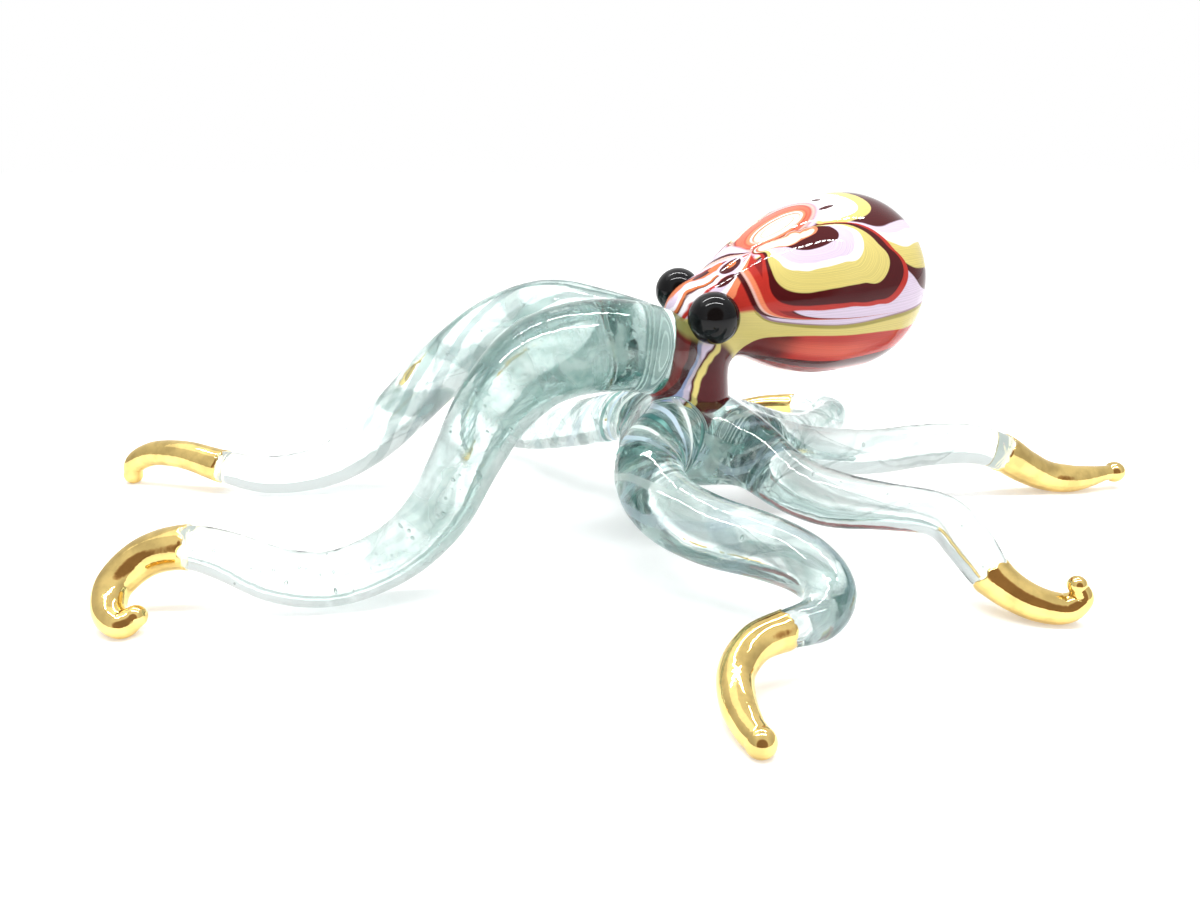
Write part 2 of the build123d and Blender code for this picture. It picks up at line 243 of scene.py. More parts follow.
# The hub's axis stands where the middle of the footprint falls on the origin
footprint = [row for name in arm_rows for row in arm_run(name, 2)]
hub_x = -(min(x - r for x, y, z, r in footprint) + max(x + r for x, y, z, r in footprint)) / 2
hub_y = -(min(y - r for x, y, z, r in footprint) + max(y + r for x, y, z, r in footprint)) / 2

# The mantle's own directions: along its axis, out to the figure's left, and up from its back
mantle_level = cos(radians(mantle_rise))
mantle_along = Vector(
    (
        cos(radians(mantle_swing)) * mantle_level,
        sin(radians(mantle_swing)) * mantle_level,
        sin(radians(mantle_rise)),
    )
)
mantle_left = Vector((sin(radians(mantle_swing)), -cos(radians(mantle_swing)), 0))
mantle_up = mantle_left.cross(mantle_along)
mantle_seat = Vector((hub_x - mantle_seat_forward, hub_y - mantle_seat_left, mantle_seat_height))
mantle_end = mantle_seat - mantle_along * mantle_overhang


def placed_run(name, steps=ROW_STEPS):
    """The arm's line where it stands, as rows of x, y, z and radius."""
    return [(x + hub_x, y + hub_y, z, radius) for x, y, z, radius in arm_run(name, steps)]


def travelled(rows):
    """How far along the line each row is."""
    way = [0.0]
    for before, after in zip(rows, rows[1:]):
        way.append(way[-1] + dist(before[:3], after[:3]))
    return way


def closed_end(rows, radius):
    """Rows with a round end of that radius after their last."""
    end = Vector(rows[-1][:3])
    heading = (end - Vector(rows[-2][:3])).normalized()
    way = travelled(rows)
    beaded = []
    for row, at in zip(rows, way):
        inside = radius**2 - (way[-1] - at) ** 2
        beaded.append((*row[:3], max(row[3], sqrt(max(inside, 0)))))
    for step in range(1, CAP_STEPS + 1):
        angle = pi / 2 * step / CAP_STEPS
        place = end + heading * radius * sin(angle)
        beaded.append((*place, radius * cos(angle) if step < CAP_STEPS else 0.0))
    return beaded


def closed_start(rows):
    """Rows with a round end before their first."""
    return closed_end(rows[::-1], rows[0][3])[::-1]


def eased(share):
    """A share from 0 to 1 that leaves and arrives gently."""
    share = min(max(share, 0.0), 1.0)
    return share * share * (3 - 2 * share)


class Tree:
    """Adds nodes to a node tree and joins their sockets."""

    def __init__(self, tree):
        self.tree = tree

    def node(self, kind, inputs=None, **settings):
        """A node with its settings, and with values or sockets on its inputs."""
        made = self.tree.nodes.new(kind)
        for name, value in settings.items():
            setattr(made, name, value)
        for key, value in (inputs or {}).items():
            self.feed(made.inputs[key], value)
        return made

    def result(self, kind, inputs=None, **settings):
        """The first output of a new node."""
        return self.node(kind, inputs, **settings).outputs[0]

    def stored(self, geometry, name, value, data_type="FLOAT"):
        """A geometry that carries a value under a name."""
        inputs = {"Geometry": geometry, "Name": name, "Value": value}
        return self.result("GeometryNodeStoreNamedAttribute", inputs, data_type=data_type)

    def moved(self, geometry, **inputs):
        """A geometry with its points at a new Position, or moved by an Offset."""
        return self.result("GeometryNodeSetPosition", {"Geometry": geometry} | inputs)

    def feed(self, socket, value):
        """Joins a socket to an input, or sets its plain value."""
        if isinstance(value, bpy.types.NodeSocket):
            self.tree.links.new(value, socket)
        else:
            socket.default_value = value

    def math(self, operation, *values):
        """A sum of one to three values."""
        made = self.node("ShaderNodeMath", operation=operation)
        for socket, value in zip(made.inputs, values):
            self.feed(socket, value)
        return made.outputs[0]

    def plus(self, first, second):
        return self.math("ADD", first, second)

    def minus(self, first, second):
        return self.math("SUBTRACT", first, second)

    def times(self, first, second):
        return self.math("MULTIPLY", first, second)

    def over(self, first, second):
        return self.math("DIVIDE", first, second)

    def dot(self, first, second):
        """How far one vector reaches along another."""
        made = self.node("ShaderNodeVectorMath", {0: first, 1: second}, operation="DOT_PRODUCT")
        return made.outputs["Value"]

    def vector(self, operation, *values):
        """A sum of vectors, or of a vector and a number."""
        made = self.node("ShaderNodeVectorMath", operation=operation)
        sockets = [made.inputs["Scale"]] if operation == "SCALE" else []
        for socket, value in zip([made.inputs[0]] + (sockets or list(made.inputs[1:])), values):
            self.feed(socket, value)
        return made.outputs[0]

    def smooth(self, value, low, high):
        """0 below low and 1 above high, with a soft step between them."""
        made = self.node("ShaderNodeMapRange", interpolation_type="SMOOTHSTEP")
        for socket, given in zip(made.inputs, (value, low, high, 0.0, 1.0)):
            self.feed(socket, given)
        return made.outputs[0]

    def mix(self, share, first, second):
        """A colour between two."""
        made = self.node("ShaderNodeMix", data_type="RGBA")
        self.feed(made.inputs[0], share)
        self.feed(made.inputs[6], first)
        self.feed(made.inputs[7], second)
        return made.outputs[2]

    def bands(self, value, starts, soft):
        """Colours in bands, each from its start to the next one's."""
        made = self.node("ShaderNodeValToRGB", {0: value})
        ramp = made.color_ramp
        stops = [(0.0, starts[0][1])]
        for (_, before), (start, colour) in zip(starts, starts[1:]):
            stops += [(start - soft, before), (start + soft, colour)]
        ramp.elements.remove(ramp.elements[1])
        ramp.elements[0].position = 0.0
        ramp.elements[0].color = stops[0][1]
        for place, colour in stops[1:]:
            ramp.elements.new(place).color = colour
        return made.outputs[0]

    def length(self, x, y):
        """Length of the slope of two sides."""
        squares = self.plus(self.times(x, x), self.times(y, y))
        return self.math("SQRT", squares)

    def sway(self, place, scale, reach):
        """A slow wander to both sides of nothing."""
        return self.times(self.minus(self.noise(place, scale), 0.5), reach)

    def group(self, name):
        """A node of one of the shared groups."""
        return self.node("ShaderNodeGroup", node_tree=bpy.data.node_groups[name])

    def curve(self, value, points, most):
        """Height at a value of a smooth curve through points; the heights stay under most."""
        first, last = points[0][0], points[-1][0]
        share = self.over(self.minus(value, first), last - first)
        made = self.node("ShaderNodeFloatCurve", {"Factor": 1.0, "Value": share})
        line = made.mapping.curves[0]
        while len(line.points) < len(points):
            line.points.new(0.5, 0.5)
        for point, (x, y) in zip(line.points, points):
            point.location = ((x - first) / (last - first), y / most)
            point.handle_type = "AUTO"
        made.mapping.update()
        return self.times(made.outputs[0], most)

    def noise(self, place, scale, detail=2.0, roughness=0.5, distortion=0.0):
        """A soft uneven value at a place, mostly near a half."""
        inputs = {"Vector": place, "Scale": scale, "Detail": detail}
        inputs |= {"Roughness": roughness, "Distortion": distortion}
        return self.result("ShaderNodeTexNoise", inputs)

    def attribute(self, name):
        """A piece's own value in a material."""
        return self.node("ShaderNodeAttribute", attribute_name=name).outputs["Fac"]

    def place(self):
        """Where a point of the piece is, in metres."""
        return self.node("ShaderNodeTexCoord").outputs["Object"]


def new_group(name, kind, inputs, outputs):
    """A node group with named inputs and outputs: the tree, its inputs and its last node."""
    tree = bpy.data.node_groups.new(name, kind)
    for label, socket_type, default in inputs:
        socket = tree.interface.new_socket(label, in_out="INPUT", socket_type=socket_type)
        if default is not None:
            socket.default_value = default
    for label, socket_type in outputs:
        tree.interface.new_socket(label, in_out="OUTPUT", socket_type=socket_type)
    work = Tree(tree)
    return work, work.node("NodeGroupInput").outputs, work.node("NodeGroupOutput").inputs


def geometry_group(name, own_inputs):
    """A geometry tree from one geometry to another, with a material and inputs of its own."""
    geometry, material = ("Geometry", "NodeSocketGeometry"), ("Material", "NodeSocketMaterial")
    inputs = [(*geometry, None), *own_inputs, (*material, None)]
    return new_group(name, "GeometryNodeTree", inputs, [geometry])


def named_value(work, name, data_type="FLOAT"):
    """A piece's own value in a geometry tree."""
    node = work.node("GeometryNodeInputNamedAttribute", {"Name": name}, data_type=data_type)
    return node.outputs["Attribute"]


def ending(work, geometry, material, outputs):
    """The last nodes of every geometry tree: smooth, real and of one material."""
    smooth = work.result("GeometryNodeSetShadeSmooth", {"Geometry": geometry})
    real = work.result("GeometryNodeRealizeInstances", {"Geometry": smooth})
    inputs = {"Geometry": real, "Material": material}
    work.feed(outputs["Geometry"], work.result("GeometryNodeSetMaterial", inputs))


def resting(work, geometry):
    """A geometry tree's nodes that keep everything on or over the surface."""
    place = work.result("GeometryNodeInputPosition")
    parts = work.node("ShaderNodeSeparateXYZ", {0: place}).outputs
    level = work.math("MAXIMUM", parts[2], 0.0)
    flat = work.result("ShaderNodeCombineXYZ", {0: parts[0], 1: parts[1], 2: level})
    return work.moved(geometry, Position=flat)


def rod_tree():
    """Draws a round rod along a line whose points carry rod_radius."""
    own = [("Sides", "NodeSocketInt", 32), ("Swell", "NodeSocketFloat", 1.0)]
    own += [("Ragged Edge", "NodeSocketFloat", 0.0)]
    tree, given, outputs = geometry_group("octopus_rod", own)
    line = tree.result("GeometryNodeMeshToCurve", {"Mesh": given["Geometry"]})
    line = tree.stored(line, "heading", tree.result("GeometryNodeInputTangent"), "FLOAT_VECTOR")
    inputs = {"Resolution": given["Sides"], "Radius": 1.0}
    ring = tree.result("GeometryNodeCurvePrimitiveCircle", inputs)
    angle = tree.times(tree.node("GeometryNodeSplineParameter").outputs["Factor"], TURN)
    for name, operation in (("around_cos", "COSINE"), ("around_sin", "SINE")):
        ring = tree.stored(ring, name, tree.math(operation, angle))
    radius = tree.times(named_value(tree, "rod_radius"), given["Swell"])
    inputs = {"Curve": line, "Profile Curve": ring, "Scale": radius}
    skin = tree.result("GeometryNodeCurveToMesh", inputs)
    inputs = {"Geometry": skin, "Distance": MERGE_REACH}
    skin = tree.result("GeometryNodeMergeByDistance", inputs)
    # The edge of the gold is pushed along the rod by an uneven amount that fades behind the edge
    rough = tree.result("ShaderNodeTexNoise", {"Scale": 900.0, "Detail": 3.0})
    push = tree.times(tree.minus(rough, 0.5), named_value(tree, "edge_share"))
    push = tree.times(push, given["Ragged Edge"])
    heading = named_value(tree, "heading", "FLOAT_VECTOR")
    skin = tree.moved(skin, Offset=tree.vector("SCALE", heading, push))
    ending(tree, resting(tree, skin), given["Material"], outputs)
    return tree.tree


def ribbon_tree():
    """Draws a flat ribbon along a line whose points carry rod_radius and twist."""
    own = [("Width Share", "NodeSocketFloat", 0.7), ("Bow", "NodeSocketFloat", 0.25)]
    tree, given, outputs = geometry_group("octopus_ribbon", own)
    line = tree.result("GeometryNodeMeshToCurve", {"Mesh": given["Geometry"]})
    inputs = {"Curve": line, "Tilt": named_value(tree, "twist")}
    line = tree.result("GeometryNodeSetCurveTilt", inputs)
    inputs = {"Start": (-1.0, 0.0, 0.0), "End": (1.0, 0.0, 0.0)}
    across = tree.result("GeometryNodeCurvePrimitiveLine", inputs)
    inputs = {"Curve": across, "Count": RIBBON_POINTS}
    across = tree.result("GeometryNodeResampleCurve", inputs)
    share = tree.node("GeometryNodeSplineParameter").outputs["Factor"]
    profile = tree.stored(across, "across", share)
    rise = tree.times(tree.math("SINE", tree.times(share, TURN)), given["Bow"])
    profile = tree.moved(profile, Offset=tree.result("ShaderNodeCombineXYZ", {"Y": rise}))
    width = tree.times(named_value(tree, "rod_radius"), given["Width Share"])
    inputs = {"Curve": line, "Profile Curve": profile, "Scale": width}
    strip = tree.result("GeometryNodeCurveToMesh", inputs)
    ending(tree, strip, given["Material"], outputs)
    return tree.tree


def soften_tree():
    """Smooths a fused body, more near the middle of its joint, and rests it on the surface."""
    own = [("Rounds", "NodeSocketInt", 6), ("Fillet Rounds", "NodeSocketInt", 30)]
    own += [("Fillet Middle", "NodeSocketVector", None)]
    own += [("Fillet Reach", "NodeSocketFloat", 0.01)]
    tree, given, outputs = geometry_group("octopus_soften", own)
    body = given["Geometry"]
    for rounds, local in ((given["Fillet Rounds"], True), (given["Rounds"], False)):
        place = tree.result("GeometryNodeInputPosition")
        weight = 1.0
        if local:
            away = tree.vector("SUBTRACT", place, given["Fillet Middle"])
            away = tree.node("ShaderNodeVectorMath", {0: away}, operation="LENGTH")
            away = tree.over(away.outputs["Value"], given["Fillet Reach"])
            weight = tree.smooth(tree.minus(1.0, away), 0.0, 0.6)
        inputs = {"Iterations": rounds, "Weight": weight}
        blurred = tree.node("GeometryNodeBlurAttribute", inputs, data_type="FLOAT_VECTOR")
        value = next(s for s in blurred.inputs if s.name == "Value" and s.enabled)
        tree.feed(value, place)
        body = tree.moved(body, Position=next(s for s in blurred.outputs if s.enabled))
    ending(tree, resting(tree, body), given["Material"], outputs)
    return tree.tree


def bubble_tree():
    """Strews small bubbles along a line whose points carry rod_radius."""
    own = [("Count", "NodeSocketInt", 30), ("Smallest", "NodeSocketFloat", 0.00008)]
    own += [("Largest", "NodeSocketFloat", 0.00028), ("Seed", "NodeSocketInt", 1)]
    tree, given, outputs = geometry_group("octopus_bubbles", own)
    line = tree.result("GeometryNodeMeshToCurve", {"Mesh": given["Geometry"]})
    inputs = {"Curve": line, "Count": given["Count"]}
    points = tree.node("GeometryNodeCurveToPoints", inputs)

    def chance(low, high, shift):
        """A value between two that differs from bubble to bubble."""
        made = tree.node("FunctionNodeRandomValue", data_type="FLOAT")
        tree.feed(made.inputs[2], low)
        tree.feed(made.inputs[3], high)
        tree.feed(made.inputs["Seed"], tree.plus(given["Seed"], shift))
        return made.outputs[1]

    made = tree.node("FunctionNodeRandomValue", data_type="FLOAT_VECTOR")
    tree.feed(made.inputs[0], (-1.0, -1.0, -1.0))
    tree.feed(made.inputs[1], (1.0, 1.0, 1.0))
    tree.feed(made.inputs["Seed"], given["Seed"])
    way = tree.vector("NORMALIZE", made.outputs[0])
    out = tree.times(named_value(tree, "rod_radius"), chance(0.0, 0.8, 11))
    middles = tree.moved(points.outputs[0], Offset=tree.vector("SCALE", way, out))
    size = tree.math("POWER", chance(0.0, 1.0, 23), 2.0)
    size = tree.times(size, tree.minus(given["Largest"], given["Smallest"]))
    size = tree.plus(size, given["Smallest"])
    inputs = {
        "Points": middles,
        "Instance": tree.result("GeometryNodeMeshIcoSphere", {"Radius": 1.0, "Subdivisions": 2}),
        "Rotation": points.outputs["Rotation"],
        "Scale": tree.result("ShaderNodeCombineXYZ", {0: size, 1: size, 2: size}),
    }
    strewn = tree.result("GeometryNodeInstanceOnPoints", inputs)
    real = tree.result("GeometryNodeRealizeInstances", {"Geometry": strewn})
    ending(tree, real, given["Material"], outputs)
    return tree.tree


def line_object(name, rows, **values):
    """An object that holds one line of points, each with its rod_radius and other values."""
    mesh = bpy.data.meshes.new(name)
    edges = [(i, i + 1) for i in range(len(rows) - 1)]
    mesh.from_pydata([tuple(c * MM for c in row[:3]) for row in rows], edges, [])
    values["rod_radius"] = [row[3] * MM for row in rows]
    for label, numbers in values.items():
        mesh.attributes.new(label, "FLOAT", "POINT").data.foreach_set("value", numbers)
    return linked(name, mesh)


def linked(name, mesh):
    """An object of a mesh, in the scene."""
    thing = bpy.data.objects.new(name, mesh)
    bpy.context.scene.collection.objects.link(thing)
    return thing


def add_tree(thing, name, **values):
    """Puts a geometry tree on an object, with its inputs set by their identifiers."""
    tree = bpy.data.node_groups[name]
    modifier = thing.modifiers.new(name, "NODES")
    modifier.node_group = tree
    for socket in tree.interface.items_tree:
        key = socket.name.lower().replace(" ", "_")
        if socket.in_out == "INPUT" and key in values:
            modifier[socket.identifier] = values[key]


def drawn(thing, name=None):
    """The object's finished mesh in a new object without modifiers, in place of the first."""
    depsgraph = bpy.context.evaluated_depsgraph_get()
    finished = thing.evaluated_get(depsgraph)
    mesh = bpy.data.meshes.new_from_object(
        finished, preserve_all_data_layers=True, depsgraph=depsgraph
    )
    name = name or thing.name
    bpy.data.objects.remove(thing)
    mesh.name = name
    return linked(name, mesh)


def shape(tree, name, rows, numbers=None, **values):
    """The finished shape that a geometry tree draws along a line."""
    line = line_object(name, rows, **(numbers or {}))
    add_tree(line, tree, **values)
    return drawn(line)


def joined(name, things):
    """One object of the meshes of several."""
    chosen = {"active_object": things[0], "object": things[0], "selected_editable_objects": things}
    with bpy.context.temp_override(**chosen):
        bpy.ops.object.join()
    things[0].name = name
    things[0].data.name = name
    return things[0]


def melted(name, parts, voxel, **values):
    """One smooth body of several parts that are fused on a grid."""
    body = joined(name, parts)
    melt = body.modifiers.new("melt", "REMESH")
    melt.mode = "VOXEL"
    melt.voxel_size = voxel
    add_tree(body, "octopus_soften", **values)
    return drawn(body, name)


def dressed(thing, slot, *nodes):
    """Hangs the finished piece from the root body and hides the model's nodes it takes the place
    of.
    """
    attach(thing, "root")
    if nodes:
        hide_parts(*nodes)
    return thing


def glass_colour(red, green, blue, alpha=1.0):
    """A colour for a node from the three values that a screen shows it with."""
    parts = []
    for part in (red, green, blue):
        share = part / 255
        parts.append(share / 12.92 if share <= 0.04045 else ((share + 0.055) / 1.055) ** 2.4)
    return (*parts, alpha)


def grey(level):
    """A colour for a node with the same value in its three parts."""
    return (level, level, level, 1)


def new_material(name, values=None):
    """A material with its Principled shader, set to plain values, joined to its output."""
    material = bpy.data.materials.new(name)
    material.use_nodes = True
    material.node_tree.nodes.clear()
    work = Tree(material.node_tree)
    shader = work.node("ShaderNodeBsdfPrincipled", values)
    output = work.node("ShaderNodeOutputMaterial", {"Surface": shader.outputs[0]})
    return material, work, shader, output


def polished(work, shader, scale, strength, distance):
    """Gives a shader the waves of flame-polished glass: their varying share, to colour it with."""
    polish = work.group("flame_polish")
    polish.inputs["Scale"].default_value = scale
    inputs = {"Strength": strength, "Distance": distance, "Height": polish.outputs["Height"]}
    work.feed(shader.inputs["Normal"], work.result("ShaderNodeBump", inputs))
    return polish.outputs["Share"]


def lit(material, work, shader, colour, strength=1.0):
    """Paints light into a surface: it glows with light of its own, which the renderer doesn't
    treat as a lamp.
    """
    work.feed(shader.inputs["Emission Color"], colour)
    shader.inputs["Emission Strength"].default_value = strength
    material.cycles.emission_sampling = "NONE"


def waves_group():
    """The gentle unevenness of flame-polished glass: a height and a share that vary slowly."""
    work, given, outputs = new_group(
        "flame_polish",
        "ShaderNodeTree",
        [("Scale", "NodeSocketFloat", 400.0), ("Stretch", "NodeSocketFloat", 1.0)],
        [("Height", "NodeSocketFloat"), ("Share", "NodeSocketFloat")],
    )
    place = work.place()
    broad = work.noise(place, given["Scale"], detail=2.0)
    fine = work.noise(place, work.times(given["Scale"], 3.7), detail=1.0)
    height = work.plus(broad, work.times(fine, 0.25))
    work.feed(outputs["Height"], work.times(height, given["Stretch"]))
    work.feed(outputs["Share"], broad)
    return work.tree


# How solid the stripes round a rod are: each from its place in the turn to the next one's
STRIPES = ((0.0, 0.0), (0.06, 1.0), (0.20, 0.0), (0.28, 0.35), (0.36, 0.0))
STRIPES += ((0.48, 0.85), (0.58, 0.2), (0.66, 0.0), (0.78, 0.9), (0.90, 0.1))
# How pale the rings on a sleeve's dome are: each from its distance from the dome's edge
RINGS = ((0.0, 0.1), (0.10, 0.9), (0.17, 0.15), (0.27, 0.85), (0.33, 0.3), (0.44, 0.1))
RINGS += ((0.50, 0.8), (0.57, 0.35), (0.70, 0.95), (0.76, 0.5))


def twist_group():
    """The colours that run round a rod of twisted glass, and how solid they are."""
    labels = ("Dark", "Middle", "Pale", "Blue")
    shades = [(label, "NodeSocketColor", grey(0.5)) for label in labels]
    puts_out = [("Color", "NodeSocketColor"), ("Alpha", "NodeSocketFloat")]
    work, given, outputs = new_group("twisted_colour", "ShaderNodeTree", shades, puts_out)
    place = work.place()
    angle = work.math("ARCTAN2", work.attribute("around_sin"), work.attribute("around_cos"))
    sway = work.sway(place, 160.0, 1.6)
    # Two turns of bands go round the rod
    phase = work.plus(work.times(angle, 2.0), work.attribute("twist"))
    phase = work.plus(phase, sway)
    share = work.math("FRACT", work.over(phase, TURN))
    stripe = work.bands(share, [(at, grey(level)) for at, level in STRIPES], 0.012)
    stripe = work.times(stripe, work.attribute("stripe"))
    tone = work.noise(place, 320.0, detail=1.0)
    tint = work.mix(work.smooth(tone, 0.40, 0.60), given["Dark"], given["Middle"])
    blue = work.attribute("blue")
    pale = work.times(work.smooth(share, 0.42, 0.46), blue)
    tint = work.mix(pale, tint, given["Pale"])
    # Painted glint: a bluish band stands for the glints among the ribbons
    bluish = work.times(work.smooth(share, 0.70, 0.76), blue)
    tint = work.mix(bluish, tint, given["Blue"])
    cloud = work.noise(place, 200.0, detail=3.0, roughness=0.5, distortion=0.6)
    cloud = work.times(work.smooth(cloud, 0.44, 0.64), work.attribute("cloud"))
    flecks = work.noise(place, 1500.0, detail=2.0, roughness=0.6)
    flecks = work.times(work.smooth(flecks, 0.57, 0.66), work.attribute("fleck"))
    misty = work.mix(work.noise(place, 700.0), given["Middle"], given["Pale"])
    tint = work.mix(work.math("MAXIMUM", cloud, flecks), tint, misty)
    solid = work.math("MAXIMUM", stripe, work.times(cloud, 0.5))
    solid = work.math("MAXIMUM", solid, work.times(flecks, 0.8))
    # Rings lie on the end of the sleeve in the joint
    ring = work.attribute("ring")
    on_ring = work.smooth(ring, 0.0, 0.05)
    ring = work.plus(ring, work.times(sway, 0.03))
    level = work.bands(ring, [(at, grey(level)) for at, level in RINGS], 0.015)
    ringed = work.mix(level, given["Dark"], given["Pale"])
    tint = work.mix(on_ring, tint, ringed)
    solid = work.mix(on_ring, solid, work.plus(work.times(level, 0.2), 0.75))
    work.feed(outputs["Color"], tint)
    work.feed(outputs["Alpha"], work.times(solid, 0.95))
    return work.tree


def a_number(name, description, default, **kind):
    """A setting that is a number."""
    return bpy.props.FloatProperty(name=name, description=description, default=default, **kind)


def a_length(name, description, default, precision=5):
    """A setting that is a length in metres."""
    return a_number(name, description, default, unit="LENGTH", precision=precision)


def a_count(name, description, default):
    """A setting that is a whole number."""
    return bpy.props.IntProperty(name=name, description=description, default=default)


def a_colour(name, description, default):
    """A setting that is a colour."""
    return bpy.props.FloatVectorProperty(
        name=name, description=description, default=default, subtype="COLOR"
    )


class OctopusSizes(bpy.types.PropertyGroup):
    """Sizes of the pieces that a maker may change"""

    voxel: a_length("Melt Size", "Size of the grid on which the arms are fused", 0.000335)
    mantle_voxel: a_length("Mantle Melt Size", "The same for the mantle and its neck", 0.00024)
    skin_rounds: a_count("Polish Rounds", "How often the fused glass is smoothed", 7)
    fillet_rounds: a_count("Fillet Rounds", "How often the joints are smoothed", 60)
    mantle_rounds: a_count("Mantle Polish Rounds", "How often the mantle is smoothed", 20)
    mantle_fillet_rounds: a_count("Mantle Fillet Rounds", "The same for its joint", 160)
    gold_proud: a_length("Gold Proud", "How far the gold stands out from the glass", 0.00004)
    gold_ragged: a_length("Gold Edge", "How uneven the edge of the gold is", 0.0022, 4)
    bubble_least: a_length("Least Bubble", "Radius of the smallest bubbles", 0.00005)
    bubble_most: a_length("Largest Bubble", "Radius of the largest bubbles", 0.00018)
    sleeve_share: a_number("Skin Stripes Depth", "Their radius as a share of the rod's", 0.93)
    ribbon_share: a_number("Ribbon Width", "Their width as a share of the rod's", 0.72)


class OctopusFinishes(bpy.types.PropertyGroup):
    """Colours of the glass and the gold"""

    glass_tint: a_colour("Glass Tint", "What thick clear glass looks like", (0.55, 0.83, 0.78))
    glass_density: a_number("Glass Depth", "How fast thick glass takes its tint", 60.0)
    ribbon_dark: a_colour("Dark Ribbon", "Darkest colour of the ribbons", (0.02, 0.12, 0.115))
    ribbon_middle: a_colour("Middle Ribbon", "Main colour of the ribbons", (0.12, 0.34, 0.30))
    ribbon_pale: a_colour("Pale Ribbon", "Palest colour of the ribbons", (0.82, 0.90, 0.87))
    # A painted glint: the bluish colour that stands for glints among the ribbons
    ribbon_blue: a_colour("Blue Ribbon", "Bluish glint among the ribbons", (0.50, 0.62, 0.72))
    ribbon_light: a_number("Ribbon Light", "Light of the ribbons' own", 0.28)
    gold: a_colour("Gold", "Colour of the fired gold", (0.88, 0.66, 0.24))


class OctopusStage(bpy.types.PropertyGroup):
    """The floor, the light and the camera"""

    floor_span: a_length("Floor Span", "Side of the floor", 3.0, 2)
    floor_white: a_number("Floor White", "How much light the floor gives back", 0.86)
    floor_lift: a_number("Floor Lift", "Light of the floor's own, to the camera", 0.29)
    surround: a_number("Surround", "Light from the white surround", 0.9)
    softbox: a_number("Softbox", "Power of the large soft lamp", 0.35, unit="POWER")
    lamp_light: a_number("Small Lamps", "Light of the rows of small lamps", 90.0)
    lens: a_number("Lens", "Focal length of the camera in millimetres", 28.26)
    camera_dip: a_number("Camera Dip", "How far the camera looks down, in degrees", 17.9)


def clear_glass(finishes):
    """Clear glass that takes a grey-green tint where it is thick."""
    values = {"Transmission Weight": 1.0, "Roughness": 0.0, "IOR": GLASS_IOR}
    material, work, shader, output = new_material("octopus_clear_glass", values)
    share = polished(work, shader, scale=350.0, strength=0.12, distance=0.0004)
    tint = work.mix(share, (0.97, 0.99, 0.985, 1), (0.99, 1.0, 1.0, 1))
    work.feed(shader.inputs["Base Color"], tint)
    inputs = {"Color": (*finishes.glass_tint, 1), "Density": finishes.glass_density}
    work.feed(output.inputs["Volume"], work.result("ShaderNodeVolumeAbsorption", inputs))
    return material


def ribbon_look(work, finishes):
    """Fine lines along a ribbon: their colours, and how solid they are."""
    across = work.attribute("across")
    place = work.place()
    line = work.plus(across, work.sway(place, 180.0, 0.5))
    lines = work.smooth(work.math("SINE", work.times(line, 30.0)), -0.5, 0.7)
    edge = work.smooth(work.math("ABSOLUTE", work.minus(across, 0.5)), 0.5, 0.36)
    solid = work.times(work.plus(work.times(lines, 0.6), 0.15), edge)
    solid = work.times(solid, work.attribute("ribbon"))
    shades = (finishes.ribbon_dark, finishes.ribbon_middle, finishes.ribbon_pale)
    dark, middle, pale = ((*shade, 1) for shade in shades)
    tone = work.plus(line, work.times(work.noise(place, 90.0), 0.6))
    starts = [(0.0, dark), (0.45, middle), (0.72, pale), (0.80, middle), (0.95, dark)]
    return work.bands(tone, starts, 0.03), solid


def twisted_glass(finishes, name, ribbon):
    """Coloured glass drawn into the clear rods, on ribbons or just under their skin."""
    material, work, shader, _ = new_material(name, {"Roughness": 0.45})
    if ribbon:
        colour, solid = ribbon_look(work, finishes)
    else:
        group = work.group("twisted_colour")
        for label in ("Dark", "Middle", "Pale", "Blue"):
            shade = getattr(finishes, "ribbon_" + label.lower())
            group.inputs[label].default_value = (*shade, 1)
        colour, solid = group.outputs["Color"], group.outputs["Alpha"]
    work.feed(shader.inputs["Base Color"], colour)
    work.feed(shader.inputs["Alpha"], solid)
    # Painted light: it glows with its own colour, since little light reaches it through the clear
    # glass
    lit(material, work, shader, colour, finishes.ribbon_light)
    return material


def bubble_glass():
    """Air in the glass: the light bends as it does out of glass into air."""
    values = {"Transmission Weight": 1.0, "Roughness": 0.0, "IOR": 0.667}
    material, work, shader, _ = new_material("octopus_bubbles", values)
    share = work.group("flame_polish").outputs["Share"]
    tint = work.mix(share, (0.95, 0.98, 0.98, 1), (1.0, 1.0, 1.0, 1))
    work.feed(shader.inputs["Base Color"], tint)
    return material


def fired_gold(finishes):
    """Bright gold lustre, thin and a little uneven where the brush left it."""
    material, work, shader, _ = new_material("octopus_gold_lustre", {"Metallic": 1.0})
    worn = work.noise(work.place(), 500.0, detail=3.0)
    deep = tuple(part * 0.72 for part in finishes.gold)
    colour = work.mix(work.smooth(worn, 0.35, 0.70), (*finishes.gold, 1), (*deep, 1))
    work.feed(shader.inputs["Base Color"], colour)
    # Painted light: a faint warm glow in its darkest reflections, and a pale glow on its cap where
    # the glass enters it
    warm = work.mix(work.attribute("cap"), (0.055, 0.028, 0.008, 1), (0.62, 0.66, 0.64, 1))
    lit(material, work, shader, warm)
    work.feed(shader.inputs["Roughness"], work.plus(work.times(worn, 0.06), 0.03))
    polished(work, shader, scale=600.0, strength=0.10, distance=0.0003)
    return material


def black_glass():
    """Opaque black glass with a clear gloss."""
    values = {"IOR": GLASS_IOR, "Specular IOR Level": 0.25}
    material, work, shader, _ = new_material("octopus_black_glass", values)
    share = polished(work, shader, scale=400.0, strength=0.1, distance=0.0002)
    colour = work.mix(share, (0.0015, 0.0015, 0.002, 1), (0.004, 0.004, 0.005, 1))
    work.feed(shader.inputs["Base Color"], colour)
    work.feed(shader.inputs["Roughness"], work.plus(work.times(share, 0.05), 0.02))
    return material


